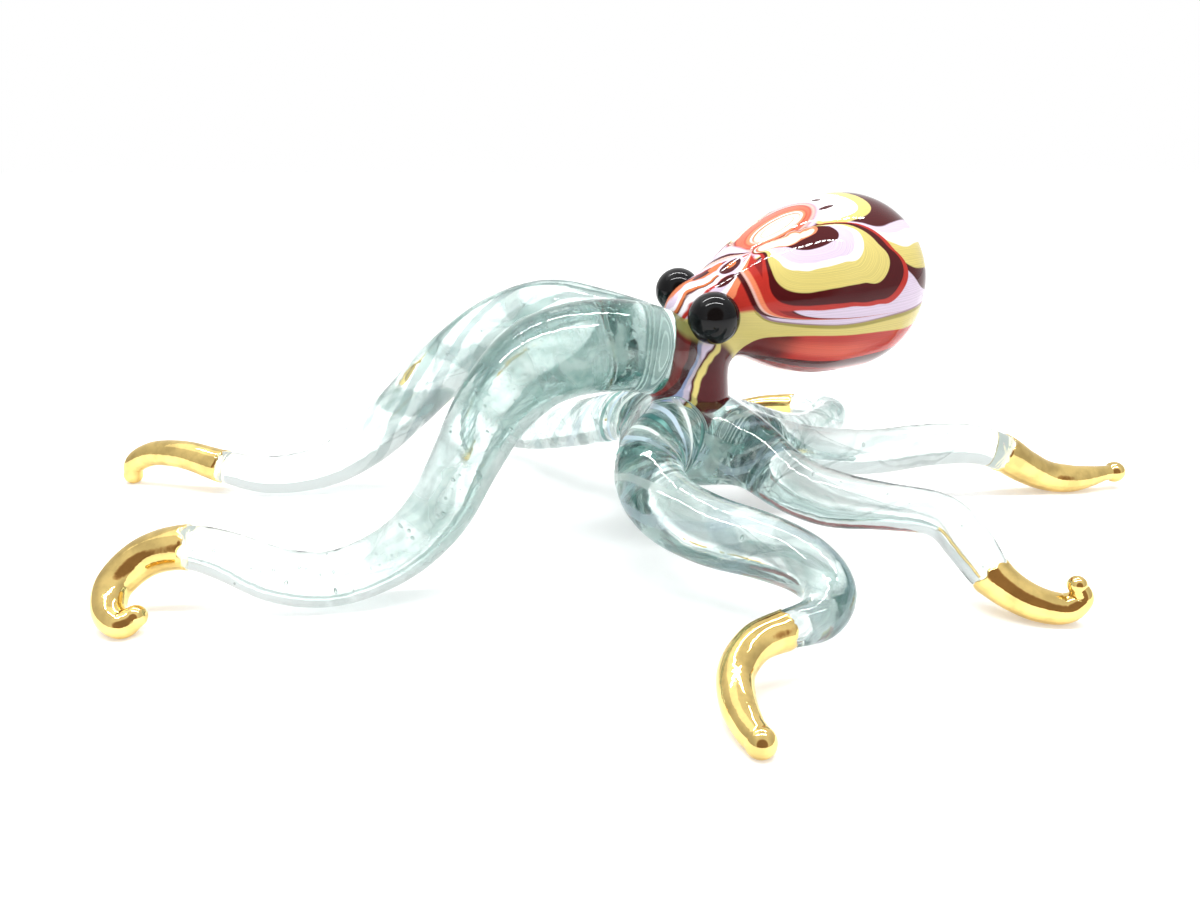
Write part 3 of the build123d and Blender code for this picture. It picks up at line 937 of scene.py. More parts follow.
def combed_glass():
    """Red glass combed with cream, white, lavender, yellow and maroon bands."""
    values = {"IOR": GLASS_IOR, "Specular IOR Level": 0.28}
    material, work, shader, _ = new_material("octopus_combed_glass", values)
    pattern = work.group("combed_bands").outputs
    work.feed(shader.inputs["Base Color"], pattern["Color"])
    # Painted light: the combed glass glows with the colour of its bands
    lit(material, work, shader, pattern["Glow"])
    share = polished(work, shader, scale=220.0, strength=0.06, distance=0.0004)
    work.feed(shader.inputs["Roughness"], work.plus(work.times(share, 0.02), 0.01))
    return material


# Colours of the combed bands
CREAM = glass_colour(238, 226, 200)
WHITE = glass_colour(242, 238, 242)
LAVENDER = glass_colour(212, 196, 216)
YELLOW = glass_colour(210, 194, 116)
OLIVE = glass_colour(158, 146, 70)
MAROON = glass_colour(72, 16, 20)
RED = glass_colour(178, 48, 40)
CRIMSON = glass_colour(134, 30, 28)
SALMON = glass_colour(226, 130, 92)
ORANGE = glass_colour(198, 108, 62)
PINK = glass_colour(222, 176, 166)
MAUVE = glass_colour(146, 112, 128)
EMBER = glass_colour(222, 104, 78)
# A painted glint: the pale blue that stands for glints in the neck's glass
GLINT = glass_colour(150, 160, 200)
SEA = glass_colour(120, 150, 145)

# The pattern's middle line lies this many degrees from straight up toward the figure's left, and
# the far side mirrors the near one about a line this many millimetres over it
COMB_TILT = 13.0
COMB_MIRROR = 0.8

# The side petal: its lines as millimetres from its middle at degrees round it, outermost first
PETAL_MIDDLE = (14.08, 3.06)
PETAL_ANGLES = (
    (-180, -167, -156, -147, -135, -120, -90, -60, -30, -15, 0)
    + (15, 30, 45, 60, 75, 90, 105, 120, 135, 150, 165, 180)
)
PETAL_LINES = (
    (
        RED,
        (4.55, 4.3, 4.95, 3.3, 1.94, 1.57, 1.23, 0.89, 1.41, 1.77, 3.1)
        + (7.0, 10.5, 13.7, 12.1, 9.75, 8.26, 7.3, 6.83, 6.51, 6.12, 5.33, 4.55),
    ),
    (
        MAROON,
        (4.2, 4.0, 4.85, 3.1, 1.84, 1.54, 1.19, 0.84, 1.37, 1.72, 2.9)
        + (6.5, 9.8, 12.9, 11.5, 9.2, 7.7, 6.89, 6.38, 5.96, 5.48, 4.68, 4.2),
    ),
    (
        YELLOW,
        (3.9, 3.7, 4.75, 2.95, 1.72, 1.5, 1.14, 0.79, 1.31, 1.67, 2.6)
        + (5.7, 8.5, 10.7, 8.93, 7.26, 6.24, 5.7, 5.33, 5.01, 4.67, 4.22, 3.9),
    ),
    (
        WHITE,
        (3.4, 3.4, 4.7, 2.85, 1.66, 1.48, 1.12, 0.76, 1.26, 1.61, 2.35)
        + (5.07, 6.8, 7.02, 5.62, 4.6, 3.95, 3.72, 3.5, 3.48, 3.42, 3.24, 3.4),
    ),
    (
        LAVENDER,
        (2.9, 3.1, 4.6, 2.8, 1.64, 1.46, 1.09, 0.73, 1.23, 1.57, 2.2)
        + (4.6, 5.8, 5.9, 4.72, 3.8, 3.33, 2.99, 2.88, 2.77, 2.74, 2.74, 2.9),
    ),
    (
        MAROON,
        (1.8, 2.7, 4.55, 2.75, 1.62, 1.44, 1.07, 0.71, 1.19, 1.53, 2.4)
        + (3.6, 4.1, 3.3, 2.6, 2.1, 1.8, 1.6, 1.5, 1.45, 1.45, 1.55, 1.8),
    ),
    (
        SALMON,
        (1.75, 2.65, 4.52, 2.72, 1.6, 1.42, 1.05, 0.68, 1.15, 1.48, 2.1)
        + (1.8, 1.05, 0.65, 0.5, 0.42, 0.38, 0.38, 0.42, 0.5, 0.7, 1.1, 1.75),
    ),
    (
        CREAM,
        (1.6, 2.4, 4.3, 2.4, 1.35, 1.15, 0.75, 0.45, 0.75, 1.0, 1.7)
        + (1.4, 0.75, 0.42, 0.3, 0.22, 0.18, 0.18, 0.22, 0.3, 0.45, 0.85, 1.6),
    ),
)

# The lines that run along the mantle: the colour under each, and its turn in degrees at places
LONG_LINES = (
    (LAVENDER, ((0, 20), (19.3, 23), (20.8, 27), (22.7, 33), (24.6, 32), (28, 27), (33, 20))),
    (WHITE, ((0, 22), (20, 26), (22.2, 36), (24.0, 39), (27, 36), (33, 28))),
    (YELLOW, ((0, 24), (20, 30), (22.2, 40), (23.4, 45), (25.1, 49), (27.1, 47), (33, 40))),
    (MAROON, ((0, 26), (20, 32), (22.5, 45), (23.5, 54), (25, 61), (26.9, 64), (33, 62))),
    (LAVENDER, ((0, 28), (20, 34), (22.6, 47), (23.6, 58), (25.4, 68), (27.4, 78), (33, 84))),
    (MAUVE, ((0, 60), (7, 62), (8.2, 72), (9, 84), (10.9, 88.3), (28, 88.3), (33, 90))),
    (OLIVE, ((0, 64), (7, 66), (7.9, 76), (8.9, 86), (10.9, 89.6), (28, 89.6), (33, 92))),
    (YELLOW, ((0, 66), (7, 68), (7.9, 80), (8.9, 88), (10.9, 92), (28, 92), (33, 94))),
    (
        RED,
        ((0, 172), (5.1, 164), (6.6, 146), (7.6, 122), (8.8, 109), (10.3, 104))
        + ((12.2, 101), (15.2, 100), (22.9, 101), (25.9, 103), (33, 106)),
    ),
    (MAROON, ((0, 178), (6, 160), (11.6, 131), (15.9, 126), (18.2, 124), (22, 121), (33, 118))),
    (CRIMSON, ((0, 179), (6, 170), (11.6, 142), (15.9, 137), (22, 134), (33, 132))),
)

# Streaks: the angle round the near comb point, or the place along the mantle, where each starts
COMB_POINT = (9.57, 1.07)
NOSE_STREAKS = (
    (-90, LAVENDER),
    (-60, MAROON),
    (-50, PINK),
    (-40, LAVENDER),
    (-30, CRIMSON),
    (-22, ORANGE),
    (-13, LAVENDER),
    (-7, WHITE),
    (-3, ORANGE),
    (1, MAROON),
    (3, WHITE),
    (8, RED),
    (12, LAVENDER),
    (22, WHITE),
    (28, SALMON),
    (40, RED),
)
UPRIGHT_STREAKS = (
    (0.0, MAROON), (7.3, PINK), (7.55, SALMON), (8.0, RED), (8.7, CRIMSON), (9.6, MAROON)
)

# Ovals and drops: along, round, half length, half width and colour, outermost first
OVALS = (
    (13.6, -1.2, 5.6, 4.3, LAVENDER),
    (13.6, -1.1, 5.1, 3.7, MAUVE),
    (13.6, -1.0, 4.9, 3.5, PINK),
    (13.6, -0.8, 4.4, 3.0, CRIMSON),
    (13.6, -0.7, 4.2, 2.8, EMBER),
    (13.5, -0.2, 3.6, 2.0, CRIMSON),
    (13.5, -0.2, 3.5, 1.9, SALMON),
    (13.5, -0.1, 3.1, 1.5, WHITE),
    (13.4, 0.0, 2.9, 1.35, ORANGE),
    (13.4, 0.1, 2.75, 1.2, CREAM),
    (13.4, 0.1, 2.0, 0.75, SALMON),
    (13.4, 0.1, 1.9, 0.65, WHITE),
)
DROPS = (
    (7.2, 0.7, 1.5, 0.95, LAVENDER),
    (7.2, 0.7, 1.2, 0.7, MAROON),
    (7.4, 0.6, 0.55, 0.34, ORANGE),
    (5.9, 1.9, 1.1, 0.42, MAROON),
    (4.7, -0.7, 1.1, 0.4, MAROON),
    (6.3, -0.6, 0.8, 0.4, ORANGE),
    (19.2, 0.9, 1.0, 0.28, MAROON),
    (19.9, -1.5, 0.5, 0.4, MAROON),
)

# The neck's streaks from the figure's right to its left, and where the mantle's skin ends
NECK_STREAKS = (
    (0.0, SEA),
    (0.05, CREAM),
    (0.10, CRIMSON),
    (0.30, MAROON),
    # Painted glint: a pale blue streak where the neck's glass glints
    (0.42, GLINT),
    (0.48, LAVENDER),
    (0.55, MAROON),
    (0.58, YELLOW),
    (0.65, MAROON),
)
SKIN_LINE = ((0, 1.2), (1.0, 2.6), (2.5, 3.5), (4.2, 3.9))
SKIN_LINE += ((7.0, 5.2), (10.0, 6.6), (14.0, 8.4), (34.0, 12.0))


def comb_group():
    """The combed bands: petals, lines and streaks over the mantle's skin and down its neck, and a
    painted glow of the same colours.
    """
    work, given, outputs = new_group(
        "combed_bands",
        "ShaderNodeTree",
        [("Sway", "NodeSocketFloat", 0.1)],
        [("Color", "NodeSocketColor"), ("Glow", "NodeSocketColor")],
    )
    place = work.place()
    drift = work.node("ShaderNodeTexNoise", {"Vector": place, "Scale": 240.0, "Detail": 2.0})
    drift = work.vector("SUBTRACT", drift.outputs[1], (0.5, 0.5, 0.5))
    from_end = work.vector("SUBTRACT", place, tuple(mantle_end * MM))
    from_end = work.vector("SCALE", from_end, 1 / MM)
    from_end = work.vector("ADD", from_end, work.vector("SCALE", drift, given["Sway"]))
    along = work.dot(from_end, tuple(mantle_along))
    c, s = cos(radians(COMB_TILT)), sin(radians(COMB_TILT))
    across = work.dot(from_end, tuple(mantle_left * c - mantle_up * s))
    high = work.dot(from_end, tuple(mantle_left * s + mantle_up * c))
    radius = work.length(across, high)
    turn = work.math("ARCTAN2", across, high)
    arc = work.times(turn, radius)
    # The far side mirrors the near one
    side_arc = work.math("ABSOLUTE", work.plus(arc, COMB_MIRROR))
    side_arc = work.minus(side_arc, COMB_MIRROR)
    side_turn = work.times(work.over(side_arc, radius), 180 / pi)

    def between(value, low, high, soft):
        """1 between low and high, with soft steps."""
        risen = work.smooth(value, low - soft, low + soft)
        return work.times(risen, work.smooth(value, high + soft, high - soft))

    colour = MAROON
    for shade, points in LONG_LINES:
        line = work.curve(along, points, 180.0)
        past = work.smooth(work.minus(side_turn, line), -0.6, 0.6)
        colour = work.mix(past, colour, shade)
        if shade == RED:
            dim = work.times(past, work.smooth(along, 13.0, 10.8))
            colour = work.mix(work.times(dim, 0.85), colour, MAROON)
    # Painted light: a paler ember red where light gathers in the thick red glass low on the mantle
    ember = between(side_turn, 107, 120, 4.5)
    ember = work.times(ember, between(along, 11.5, 20.0, 3.0))
    colour = work.mix(work.times(ember, 0.55), colour, EMBER)

    # Petal over the crown
    for reach, spread, middle, shade in ((4.0, 3.6, 20.2, YELLOW), (3.1, 2.8, 19.6, WHITE)):
        dx = work.over(work.minus(along, middle), reach)
        dy = work.over(work.minus(side_arc, 0.4), spread)
        dx = work.math("POWER", work.math("ABSOLUTE", dx), 3.0)
        dy = work.math("POWER", work.math("ABSOLUTE", dy), 3.0)
        colour = work.mix(work.smooth(work.plus(dx, dy), 1.08, 0.98), colour, shade)

    def ovals(rows, colour):
        """The colour with ovals laid over it."""
        for x, y, reach, spread, shade in rows:
            dx = work.over(work.minus(along, x), reach)
            dy = work.over(work.minus(arc, y), spread)
            colour = work.mix(work.smooth(work.length(dx, dy), 1.05, 0.95), colour, shade)
        return colour

    colour = ovals(OVALS, colour)

    # Streaks from the near comb point over the nose, and upright ones behind the eye
    theta = work.math("ARCTAN2", work.minus(arc, COMB_POINT[1]), work.minus(COMB_POINT[0], along))
    sway = work.minus(work.noise(place, 260.0), 0.5)
    theta = work.plus(theta, work.times(sway, 0.5))
    streaks = [(0.5 + angle / 180, shade) for angle, shade in NOSE_STREAKS]
    theta = work.plus(work.over(theta, pi), 0.5)
    nose = work.times(work.smooth(along, 9.6, 9.2), work.smooth(side_turn, 78, 72))
    colour = work.mix(nose, colour, work.bands(theta, streaks, 0.004))
    streaks = [(at / 12, shade) for at, shade in UPRIGHT_STREAKS]
    bend = work.math("MAXIMUM", work.minus(89.0, side_turn), 0.5)
    bent = work.minus(along, work.over(14.0, bend))
    behind = work.times(between(bent, 6.8, 9.9, 0.12), between(side_turn, 23, 88.0, 0.5))
    upright = work.bands(work.over(bent, 12.0), streaks, 0.006)
    colour = work.mix(behind, colour, upright)
    colour = ovals(DROPS, colour)

    # Side petal
    dx = work.minus(along, PETAL_MIDDLE[0])
    dy = work.minus(side_arc, PETAL_MIDDLE[1])
    way = work.times(work.math("ARCTAN2", dy, dx), 180 / pi)
    away = work.length(dx, dy)
    for shade, distances in PETAL_LINES:
        line = work.curve(way, tuple(zip(PETAL_ANGLES, distances)), 16.0)
        inside = work.smooth(work.minus(away, line), 0.07, -0.07)
        colour = work.mix(inside, colour, shade)
        if shade == RED:
            petal, edge = inside, line

    # Fine lines run beside the broad ones
    in_petal = work.times(work.over(away, edge), 26.0)
    across = work.mix(petal, work.times(side_turn, 0.45), in_petal)
    inputs = {"W": across, "Detail": 1.0}
    lines = work.result("ShaderNodeTexNoise", inputs, noise_dimensions="1D")
    lines = work.smooth(lines, 0.38, 0.62)
    shading = work.plus(work.times(lines, 0.24), 0.84)
    colour = work.vector("SCALE", colour, shading)

    # Neck
    parts = work.node("ShaderNodeSeparateXYZ", {0: place}).outputs
    lean = work.times(work.minus(parts[2], 0.018), 0.45)
    share = work.minus(work.minus(parts[0], (hub_x - 5.6) * MM), lean)
    share = work.over(share, 10 * MM)
    share = work.plus(share, work.times(sway, 0.25))
    stem = work.bands(share, NECK_STREAKS, 0.01)
    outside = work.minus(radius, work.curve(along, SKIN_LINE, 20.0))
    colour = work.mix(work.smooth(outside, 0.1, 0.9), colour, stem)
    work.feed(outputs["Color"], colour)
    # Painted light: the bands glow with their own colour, faintly over the mantle and more
    # strongly low on the neck
    glow = work.plus(work.times(work.smooth(parts[2], 0.021, 0.016), 0.4), 0.1)
    work.feed(outputs["Glow"], work.vector("SCALE", colour, glow))
    return work.tree


class OCTOPUS_OT_glass_body(bpy.types.Operator):
    """Fuse the eight clear arms and the hub into one body of glass"""

    bl_idname = "octopus.glass_body"
    bl_label = "Glass Body"

    def execute(self, context):
        sizes, finishes = context.scene.octopus_sizes, context.scene.octopus_finishes
        material = clear_glass(finishes)
        parts = []
        for name in arm_rows:
            rows = placed_run(name)
            way = travelled(rows)
            gold_at = way[arm_rows[name][GOLD_ROW] * ROW_STEPS]
            # Under its gold the glass is thinner
            thinned = []
            for row, at in zip(rows, way):
                inset = GOLD_INSET * eased((at - gold_at) / GOLD_INSET_RUN)
                thinned.append((*row[:3], max(row[3] - inset, LEAST_RADIUS)))
            thinned = closed_start(closed_end(thinned, thinned[-1][3]))
            parts.append(shape("octopus_rod", "rod_" + name, thinned, sides=40, material=material))
        profile = [
            (hub_underside_height, 0.0),
            (hub_underside_height, hub_underside_diameter / 2),
            (hub_rim_height, hub_diameter / 2),
            (hub_shoulder_height, hub_shoulder_diameter / 2),
            (hub_top_height, hub_top_diameter / 2),
            (hub_top_height + 0.01, 0.0),
        ]
        rows = [(hub_x, hub_y, height, radius) for height, radius in profile]
        parts.append(shape("octopus_rod", "gather", rows, sides=64, material=material))
        body = melted(
            "glass_body",
            parts,
            sizes.voxel,
            rounds=sizes.skin_rounds,
            fillet_rounds=sizes.fillet_rounds,
            fillet_middle=(hub_x * MM, hub_y * MM, HUB_FILLET_HEIGHT * MM),
            fillet_reach=HUB_FILLET_REACH * MM,
            material=material,
        )
        dressed(body, "clear_glass", "hub", *["arm_" + name for name in arm_rows])
        return {"FINISHED"}


def inside_looks(name, share):
    """What the material inside an arm reads at each share of its length."""
    swirl, twists, ribbon, stripe, cloud, fleck, fade, _ = arm_glass_rows[name]
    start = 0.01 if swirl else 0.08
    paling = 0.6 if swirl else 0.3
    looks = {label: [] for label in ("twist", "ribbon", "stripe", "cloud", "fleck", "blue")}
    for s in share:
        seen = eased(s / start) * (1 - eased((s - fade + 0.15) / 0.2))
        # A swirl at the root is clear of mist
        misty = seen * eased((s - 0.06) / 0.18) if swirl else seen
        looks["twist"].append(TURN * (swirl * eased(s / 0.3) + twists * s))
        looks["ribbon"].append(ribbon * seen)
        looks["stripe"].append(stripe * seen * (1 - paling * eased(s / 0.4)))
        looks["cloud"].append(cloud * misty)
        looks["fleck"].append(fleck * misty * (1 - eased(s / 0.5)))
        looks["blue"].append(1.0 if swirl else 0.2)
    return looks


def too_near(row):
    """Whether ribbons would start inside the neck, or in the middle of the hub."""
    least = HIGH_START if row[2] > HIGH_ARM_LIFT else LOW_START
    return dist(row[:2], (hub_x, hub_y)) < least


def sleeve_rows(name, rows, looks):
    """An arm's rows and looks with a shallow dome of rings before them on the near side."""
    first = Vector(rows[0][:3])
    heading = (Vector(rows[1][:3]) - first).normalized()
    dome, rings = [], []
    for step in range(DOME_STEPS if arm_rows[name][0] > NEAR_BEARING else 0):
        angle = pi / 2 * step / DOME_STEPS
        dome.append((*(first - heading * 0.9 * cos(angle)), rows[0][3] * sin(angle)))
        rings.append(1 - sin(angle))
    looks = {label: [numbers[0]] * len(dome) + numbers for label, numbers in looks.items()}
    looks["ring"] = rings + [0.0] * len(rows)
    return dome + rows, looks


class OCTOPUS_OT_ribbons(bpy.types.Operator):
    """Draw the twisted ribbons and the striped skin inside each arm"""

    bl_idname = "octopus.ribbons"
    bl_label = "Twisted Ribbons"

    def execute(self, context):
        sizes, finishes = context.scene.octopus_sizes, context.scene.octopus_finishes
        skin = twisted_glass(finishes, "octopus_striped_skin", False)
        strip = twisted_glass(finishes, "octopus_ribbon", True)
        parts = []
        for name in arm_glass_rows:
            half_row = ROW_STEPS // 2
            rows = placed_run(name)[half_row : arm_rows[name][GOLD_ROW] * ROW_STEPS + half_row]
            while too_near(rows[0]):
                rows = rows[1:]
            way = travelled(rows)
            looks = inside_looks(name, [at / way[-1] for at in way])
            sleeve, sleeve_looks = sleeve_rows(name, rows, looks)
            values = {"sides": 32, "swell": sizes.sleeve_share, "material": skin}
            parts.append(shape("octopus_rod", "sleeve_" + name, sleeve, sleeve_looks, **values))
            values = {"width_share": sizes.ribbon_share, "material": strip}
            parts.append(shape("octopus_ribbon", "ribbon_" + name, rows, looks, **values))
        # Swirls in the gather
        profile = [
            (hub_underside_height + 0.4, 1.5),
            (hub_underside_height + 0.9, hub_underside_diameter * 0.44),
            (hub_rim_height, hub_diameter * 0.455),
            (hub_shoulder_height, hub_shoulder_diameter * 0.43),
            (hub_top_height - 0.8, 2.0),
        ]
        rows = smooth_run([(hub_x, hub_y, *row) for row in profile], ROW_STEPS)
        share = [i / (len(rows) - 1) for i in range(len(rows))]
        looks = {
            "twist": [TURN * 2.2 * s for s in share],
            "stripe": [0.55 * eased(s * 5) for s in share],
        }
        for label, level in (("cloud", 1.0), ("fleck", 0.3), ("ring", 0.0), ("blue", 1.0)):
            looks[label] = [level] * len(rows)
        parts.append(shape("octopus_rod", "swirls", rows, looks, sides=48, material=skin))
        dressed(joined("twisted_ribbons", parts), "clear_glass")
        return {"FINISHED"}


class OCTOPUS_OT_bubbles(bpy.types.Operator):
    """Strew the small bubbles that the glass holds"""

    bl_idname = "octopus.bubbles"
    bl_label = "Bubbles"

    def execute(self, context):
        sizes, material = context.scene.octopus_sizes, bubble_glass()
        parts = []
        for seed, (name, (*_, count)) in enumerate(arm_glass_rows.items()):
            rows = placed_run(name)[ROW_STEPS : arm_rows[name][GOLD_ROW] * ROW_STEPS]
            values = {"count": count, "seed": seed, "material": material}
            values |= {"smallest": sizes.bubble_least, "largest": sizes.bubble_most}
            parts.append(shape("octopus_bubbles", "bubbles_" + name, rows, **values))
        dressed(joined("bubbles", parts), "clear_glass")
        return {"FINISHED"}


class OCTOPUS_OT_gilding(bpy.types.Operator):
    """Fire the gold on the end of each arm"""

    bl_idname = "octopus.gilding"
    bl_label = "Gilded Tips"

    def execute(self, context):
        sizes, finishes = context.scene.octopus_sizes, context.scene.octopus_finishes
        material = fired_gold(finishes)
        proud = sizes.gold_proud / MM
        for name, (*_, bead, gold_row) in arm_rows.items():
            rows = placed_run(name)[gold_row * ROW_STEPS :]
            rows = [(*row[:3], row[3] + proud) for row in smooth_run(rows, 2)]
            rows = closed_end(rows, max(bead / 2, rows[-1][3]))
            # Its open end is closed with a flat cap
            rows = [(*rows[0][:3], 0.0), (*rows[0][:3], rows[0][3] * GOLD_CAP_SHARE)] + rows
            numbers = {
                "edge_share": [1 - eased(at / GOLD_EDGE_RUN) for at in travelled(rows)],
                "cap": [1.0, 1.0] + [0.0] * (len(rows) - 2),
            }
            line = line_object("gold", rows, **numbers)
            values = {"sides": 48, "ragged_edge": sizes.gold_ragged, "material": material}
            add_tree(line, "octopus_rod", **values)
            node = "gilded_tip_" + name
            dressed(drawn(line, "fired_gold_" + name), "gold_lustre", node)
        return {"FINISHED"}


# Steps round the mantle's nose, its crown and the eyes
NOSE_STEPS = 24
CROWN_STEPS = 36
EYE_STEPS = 40


def mantle_flank():
    """The mantle's flank as rows of place along its axis and radius."""
    nose_radius, full_radius = mantle_nose_diameter / 2, mantle_diameter / 2
    flank_length = mantle_length - mantle_crown_length - mantle_nose_length
    return [
        (mantle_nose_length + at * flank_length, nose_radius + swell * (full_radius - nose_radius))
        for at, swell in mantle_flank_shares
    ]


def mantle_rows():
    """The mantle's outline as rows of place along its axis and radius."""
    flank = mantle_flank()
    (nose_end, nose_radius), (crown_start, full_radius) = flank[0], flank[-1]
    rows = []
    for step in range(NOSE_STEPS + 1):
        angle = pi / 2 * step / NOSE_STEPS
        rows.append((nose_end * (1 - cos(angle)), nose_radius * sin(angle)))
    flank = smooth_run([(along, 0.0, 0.0, radius) for along, radius in flank], 12)
    rows += [(row[0], row[3]) for row in flank[1:-1]]
    for step in range(CROWN_STEPS + 1):
        angle = pi / 2 * step / CROWN_STEPS
        rows.append((crown_start + mantle_crown_length * sin(angle), full_radius * cos(angle)))
    rows[-1] = (mantle_length, 0.0)
    return rows


def mantle_radius(along):
    """Radius of the mantle's flank at a distance from the end of its nose."""
    flank = mantle_flank()
    for (near, narrow), (far, wide) in zip(flank, flank[1:]):
        if along <= far:
            return narrow + (wide - narrow) * (along - near) / (far - near)
    return mantle_diameter / 2


class OCTOPUS_OT_mantle(bpy.types.Operator):
    """Blow the combed mantle and flow it into its neck"""

    bl_idname = "octopus.mantle"
    bl_label = "Mantle and Neck"

    def execute(self, context):
        sizes, material = context.scene.octopus_sizes, combed_glass()
        rows = [(*(mantle_end + mantle_along * along), radius) for along, radius in mantle_rows()]
        parts = [shape("octopus_rod", "egg", rows, sides=120, material=material)]
        rows = []
        for lean_share, climb_share, diameter_share in neck_line_shares:
            x = hub_x - lean_share * mantle_seat_forward
            y = hub_y - lean_share * mantle_seat_left
            z = neck_foot_height + climb_share * (mantle_seat_height - neck_foot_height)
            rows.append((x, y, z, diameter_share * neck_diameter / 2))
        rows = smooth_run(rows, ROW_STEPS)[ROW_STEPS:]
        rows = [(*rows[0][:2], rows[0][2] - 1.5, 2.0)] + rows
        rows = closed_start(closed_end(rows, rows[-1][3]))
        parts.append(shape("octopus_rod", "stem", rows, sides=64, material=material))
        body = melted(
            "combed_mantle",
            parts,
            sizes.mantle_voxel,
            rounds=sizes.mantle_rounds,
            fillet_rounds=sizes.mantle_fillet_rounds,
            fillet_middle=tuple((mantle_seat + mantle_along * 3 - mantle_up * 3) * MM),
            fillet_reach=NECK_FILLET_REACH * MM,
            material=material,
        )
        dressed(body, "combed_glass", "mantle", "neck")
        return {"FINISHED"}


class OCTOPUS_OT_eyes(bpy.types.Operator):
    """Press the two black beads on the mantle"""

    bl_idname = "octopus.eyes"
    bl_label = "Eyes"

    def execute(self, context):
        material = black_glass()
        for name, (along_share, turn, diameter) in eye_rows.items():
            outward = mantle_left * cos(radians(turn)) + mantle_up * sin(radians(turn))
            along = along_share * mantle_length
            middle = mantle_end + mantle_along * along
            middle += outward * (mantle_radius(along) + eye_stand)
            radius = diameter / 2
            rows = []
            for step in range(EYE_STEPS + 1):
                angle = pi * step / EYE_STEPS
                # Its outer half is a little flat
                lift = -cos(angle) * radius * (0.97 if angle > pi / 2 else 1.0)
                spread = radius * sin(angle) ** 0.94 if 0 < step < EYE_STEPS else 0.0
                rows.append((*(middle + outward * lift), spread))
            line = line_object("bead", rows)
            add_tree(line, "octopus_rod", sides=64, material=material)
            dressed(drawn(line, "bead_" + name), "black_glass", name)
        return {"FINISHED"}


# The camera and the large lamp, in metres
CAMERA_PLACE = (-0.0023004, -0.0990016, 0.040)
SENSOR_WIDTH = 36.0
NEAREST_SEEN = 0.001
SOFTBOX_SIDES = (0.5, 0.4)
SOFTBOX_PLACE = (-0.25, 0.15, 0.55)
SOFTBOX_AIM = (0, 0, 0.01)
# The small lamps, in millimetres
LAMP_ROWS = (-60, 80)
LAMPS_IN_ROW = 26
LAMP_START = -150
LAMP_STEP = 12
LAMP_HALF_SIDE = 4.0
LAMP_HEIGHT = 260


def laid_floor(settings):
    """A white floor that is a little lit where the camera sees it."""
    half = settings.floor_span / 2
    mesh = bpy.data.meshes.new("floor")
    corners = [(-half, -half, 0), (half, -half, 0), (half, half, 0), (-half, half, 0)]
    mesh.from_pydata(corners, [], [(0, 1, 2, 3)])
    material, work, shader, output = new_material("white_floor")
    work.tree.nodes.remove(shader)
    seen = work.node("ShaderNodeLightPath").outputs
    clear = work.math("MAXIMUM", seen["Is Camera Ray"], seen["Is Glossy Ray"])
    clear = work.math("MAXIMUM", clear, seen["Is Transmission Ray"])
    paper = work.result("ShaderNodeBsdfDiffuse", {"Color": grey(settings.floor_white)})
    lift = work.times(clear, settings.floor_lift)
    lift = work.result("ShaderNodeEmission", {"Color": grey(1), "Strength": lift})
    both = work.result("ShaderNodeAddShader", {0: paper, 1: lift})
    work.feed(output.inputs["Surface"], both)
    mesh.materials.append(material)
    return linked("floor", mesh)


def white_surround(settings):
    """A white world with a darker, warm patch behind the camera and dim sides."""
    world = bpy.data.worlds.new("white_surround")
    world.use_nodes = True
    world.node_tree.nodes.clear()
    work = Tree(world.node_tree)
    way = work.node("ShaderNodeTexCoord").outputs["Generated"]
    seen = work.node("ShaderNodeLightPath").outputs
    patch = work.smooth(work.dot(way, (0.03, -0.955, 0.295)), 0.74, 0.86)
    glossy = work.times(patch, seen["Is Glossy Ray"])
    dark = work.plus(work.times(patch, 0.15), work.times(glossy, 0.55))
    aside = work.math("ABSOLUTE", work.dot(way, (1.0, 0.0, 0.0)))
    aside = work.times(work.smooth(aside, 0.5, 1.0), 0.35)
    level = work.minus(work.minus(1.0, dark), aside)
    level = work.times(level, settings.surround)
    # The camera itself sees plain white
    rest = work.times(seen["Is Camera Ray"], work.minus(1.0, level))
    colour = work.mix(glossy, grey(1), (1.0, 0.62, 0.42, 1))
    inputs = {"Color": colour, "Strength": work.plus(rest, level)}
    backdrop = work.result("ShaderNodeBackground", inputs)
    work.node("ShaderNodeOutputWorld", {"Surface": backdrop})
    return world


def softbox(settings):
    """The large soft lamp over the figure's back."""
    lamp = bpy.data.lights.new("softbox", "AREA")
    lamp.shape = "RECTANGLE"
    lamp.size, lamp.size_y = SOFTBOX_SIDES
    lamp.energy = settings.softbox
    thing = bpy.data.objects.new("softbox", lamp)
    thing.location = SOFTBOX_PLACE
    aim = Vector(SOFTBOX_AIM) - thing.location
    thing.rotation_euler = aim.to_track_quat("-Z", "Y").to_euler()
    return thing


def lamp_strips(settings):
    """Rows of small lamps high over the figure, which glint as dotted lines."""
    material, work, shader, output = new_material("lamp_strip")
    work.tree.nodes.remove(shader)
    inputs = {"Color": grey(1), "Strength": settings.lamp_light}
    work.feed(output.inputs["Surface"], work.result("ShaderNodeEmission", inputs))
    verts, faces = [], []
    for y in LAMP_ROWS:
        for i in range(LAMPS_IN_ROW):
            x = LAMP_START + i * LAMP_STEP
            start = len(verts)
            for dx, dy in ((-1, -1), (-1, 1), (1, 1), (1, -1)):
                corner = (x + dx * LAMP_HALF_SIDE, y + dy * LAMP_HALF_SIDE, LAMP_HEIGHT)
                verts.append(tuple(part * MM for part in corner))
            faces.append((start, start + 1, start + 2, start + 3))
    mesh = bpy.data.meshes.new("lamp_strips")
    mesh.from_pydata(verts, [], faces)
    mesh.materials.append(material)
    return linked("lamp_strips", mesh)


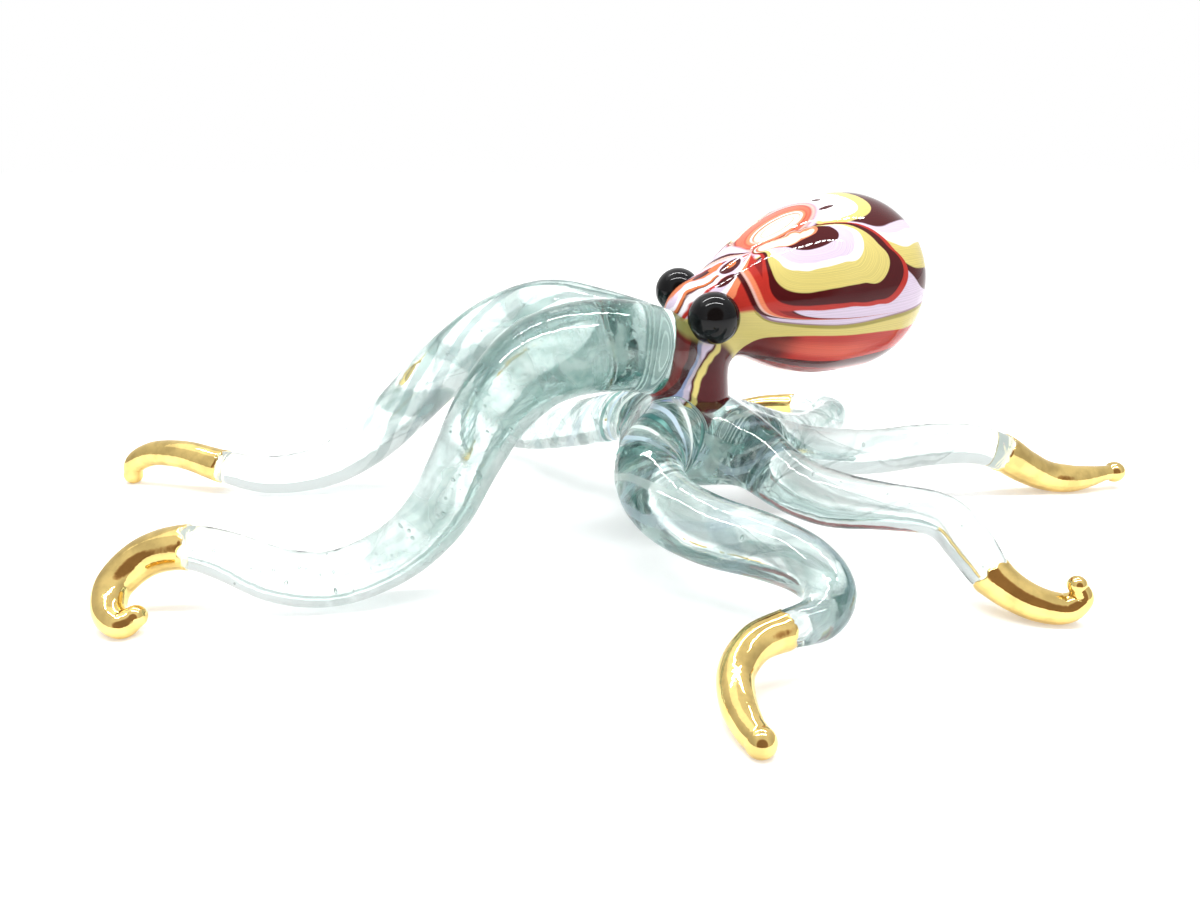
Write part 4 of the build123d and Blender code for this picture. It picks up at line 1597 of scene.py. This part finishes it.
class OCTOPUS_OT_stage(bpy.types.Operator):
    """Set up the white floor, the soft light and the camera"""

    bl_idname = "octopus.stage"
    bl_label = "Stage"

    def execute(self, context):
        scene, settings = context.scene, context.scene.octopus_stage
        scene.view_settings.view_transform = "Standard"
        laid_floor(settings)
        scene.world = white_surround(settings)
        scene.collection.objects.link(softbox(settings))
        strips = lamp_strips(settings)
        strips.visible_camera = False

        camera = bpy.data.cameras.new("camera")
        camera.lens = settings.lens
        camera.sensor_width = SENSOR_WIDTH
        camera.clip_start = NEAREST_SEEN
        eye = bpy.data.objects.new("camera", camera)
        eye.location = CAMERA_PLACE
        eye.rotation_euler = (radians(90 - settings.camera_dip), 0, 0)
        scene.collection.objects.link(eye)
        scene.camera = eye
        return {"FINISHED"}


class OCTOPUS_PT_panel(bpy.types.Panel):
    """The pieces of the octopus in the order of making"""

    bl_label = "Glass Octopus"
    bl_idname = "OCTOPUS_PT_panel"
    bl_space_type = "VIEW_3D"
    bl_region_type = "UI"
    bl_category = "Octopus"

    def draw(self, context):
        for settings in (
            context.scene.octopus_sizes,
            context.scene.octopus_finishes,
            context.scene.octopus_stage,
        ):
            box = self.layout.box()
            for name in settings.__annotations__:
                box.prop(settings, name)
        for operator in operators:
            self.layout.operator(operator.bl_idname)


operators = (
    OCTOPUS_OT_glass_body,
    OCTOPUS_OT_ribbons,
    OCTOPUS_OT_bubbles,
    OCTOPUS_OT_gilding,
    OCTOPUS_OT_mantle,
    OCTOPUS_OT_eyes,
    OCTOPUS_OT_stage,
)
settings_groups = (
    ("octopus_sizes", OctopusSizes),
    ("octopus_finishes", OctopusFinishes),
    ("octopus_stage", OctopusStage),
)


def register():
    """Adds the settings, the operators and the panel to Blender."""
    for label, group in settings_groups:
        bpy.utils.register_class(group)
        setattr(bpy.types.Scene, label, bpy.props.PointerProperty(type=group))
    for operator in operators:
        bpy.utils.register_class(operator)
    bpy.utils.register_class(OCTOPUS_PT_panel)


def unregister():
    """Takes them out again."""
    bpy.utils.unregister_class(OCTOPUS_PT_panel)
    for operator in reversed(operators):
        bpy.utils.unregister_class(operator)
    for label, group in reversed(settings_groups):
        delattr(bpy.types.Scene, label)
        bpy.utils.unregister_class(group)


def main():
    """Makes the octopus and its stage."""
    register()
    for make_tree in (rod_tree, ribbon_tree, soften_tree, bubble_tree):
        make_tree()
    for make_group in (waves_group, twist_group, comb_group):
        make_group()
    bpy.ops.octopus.glass_body()
    bpy.ops.octopus.ribbons()
    bpy.ops.octopus.bubbles()
    bpy.ops.octopus.gilding()
    bpy.ops.octopus.mantle()
    bpy.ops.octopus.eyes()
    bpy.ops.octopus.stage()


if __name__ == "__main__":
    main()
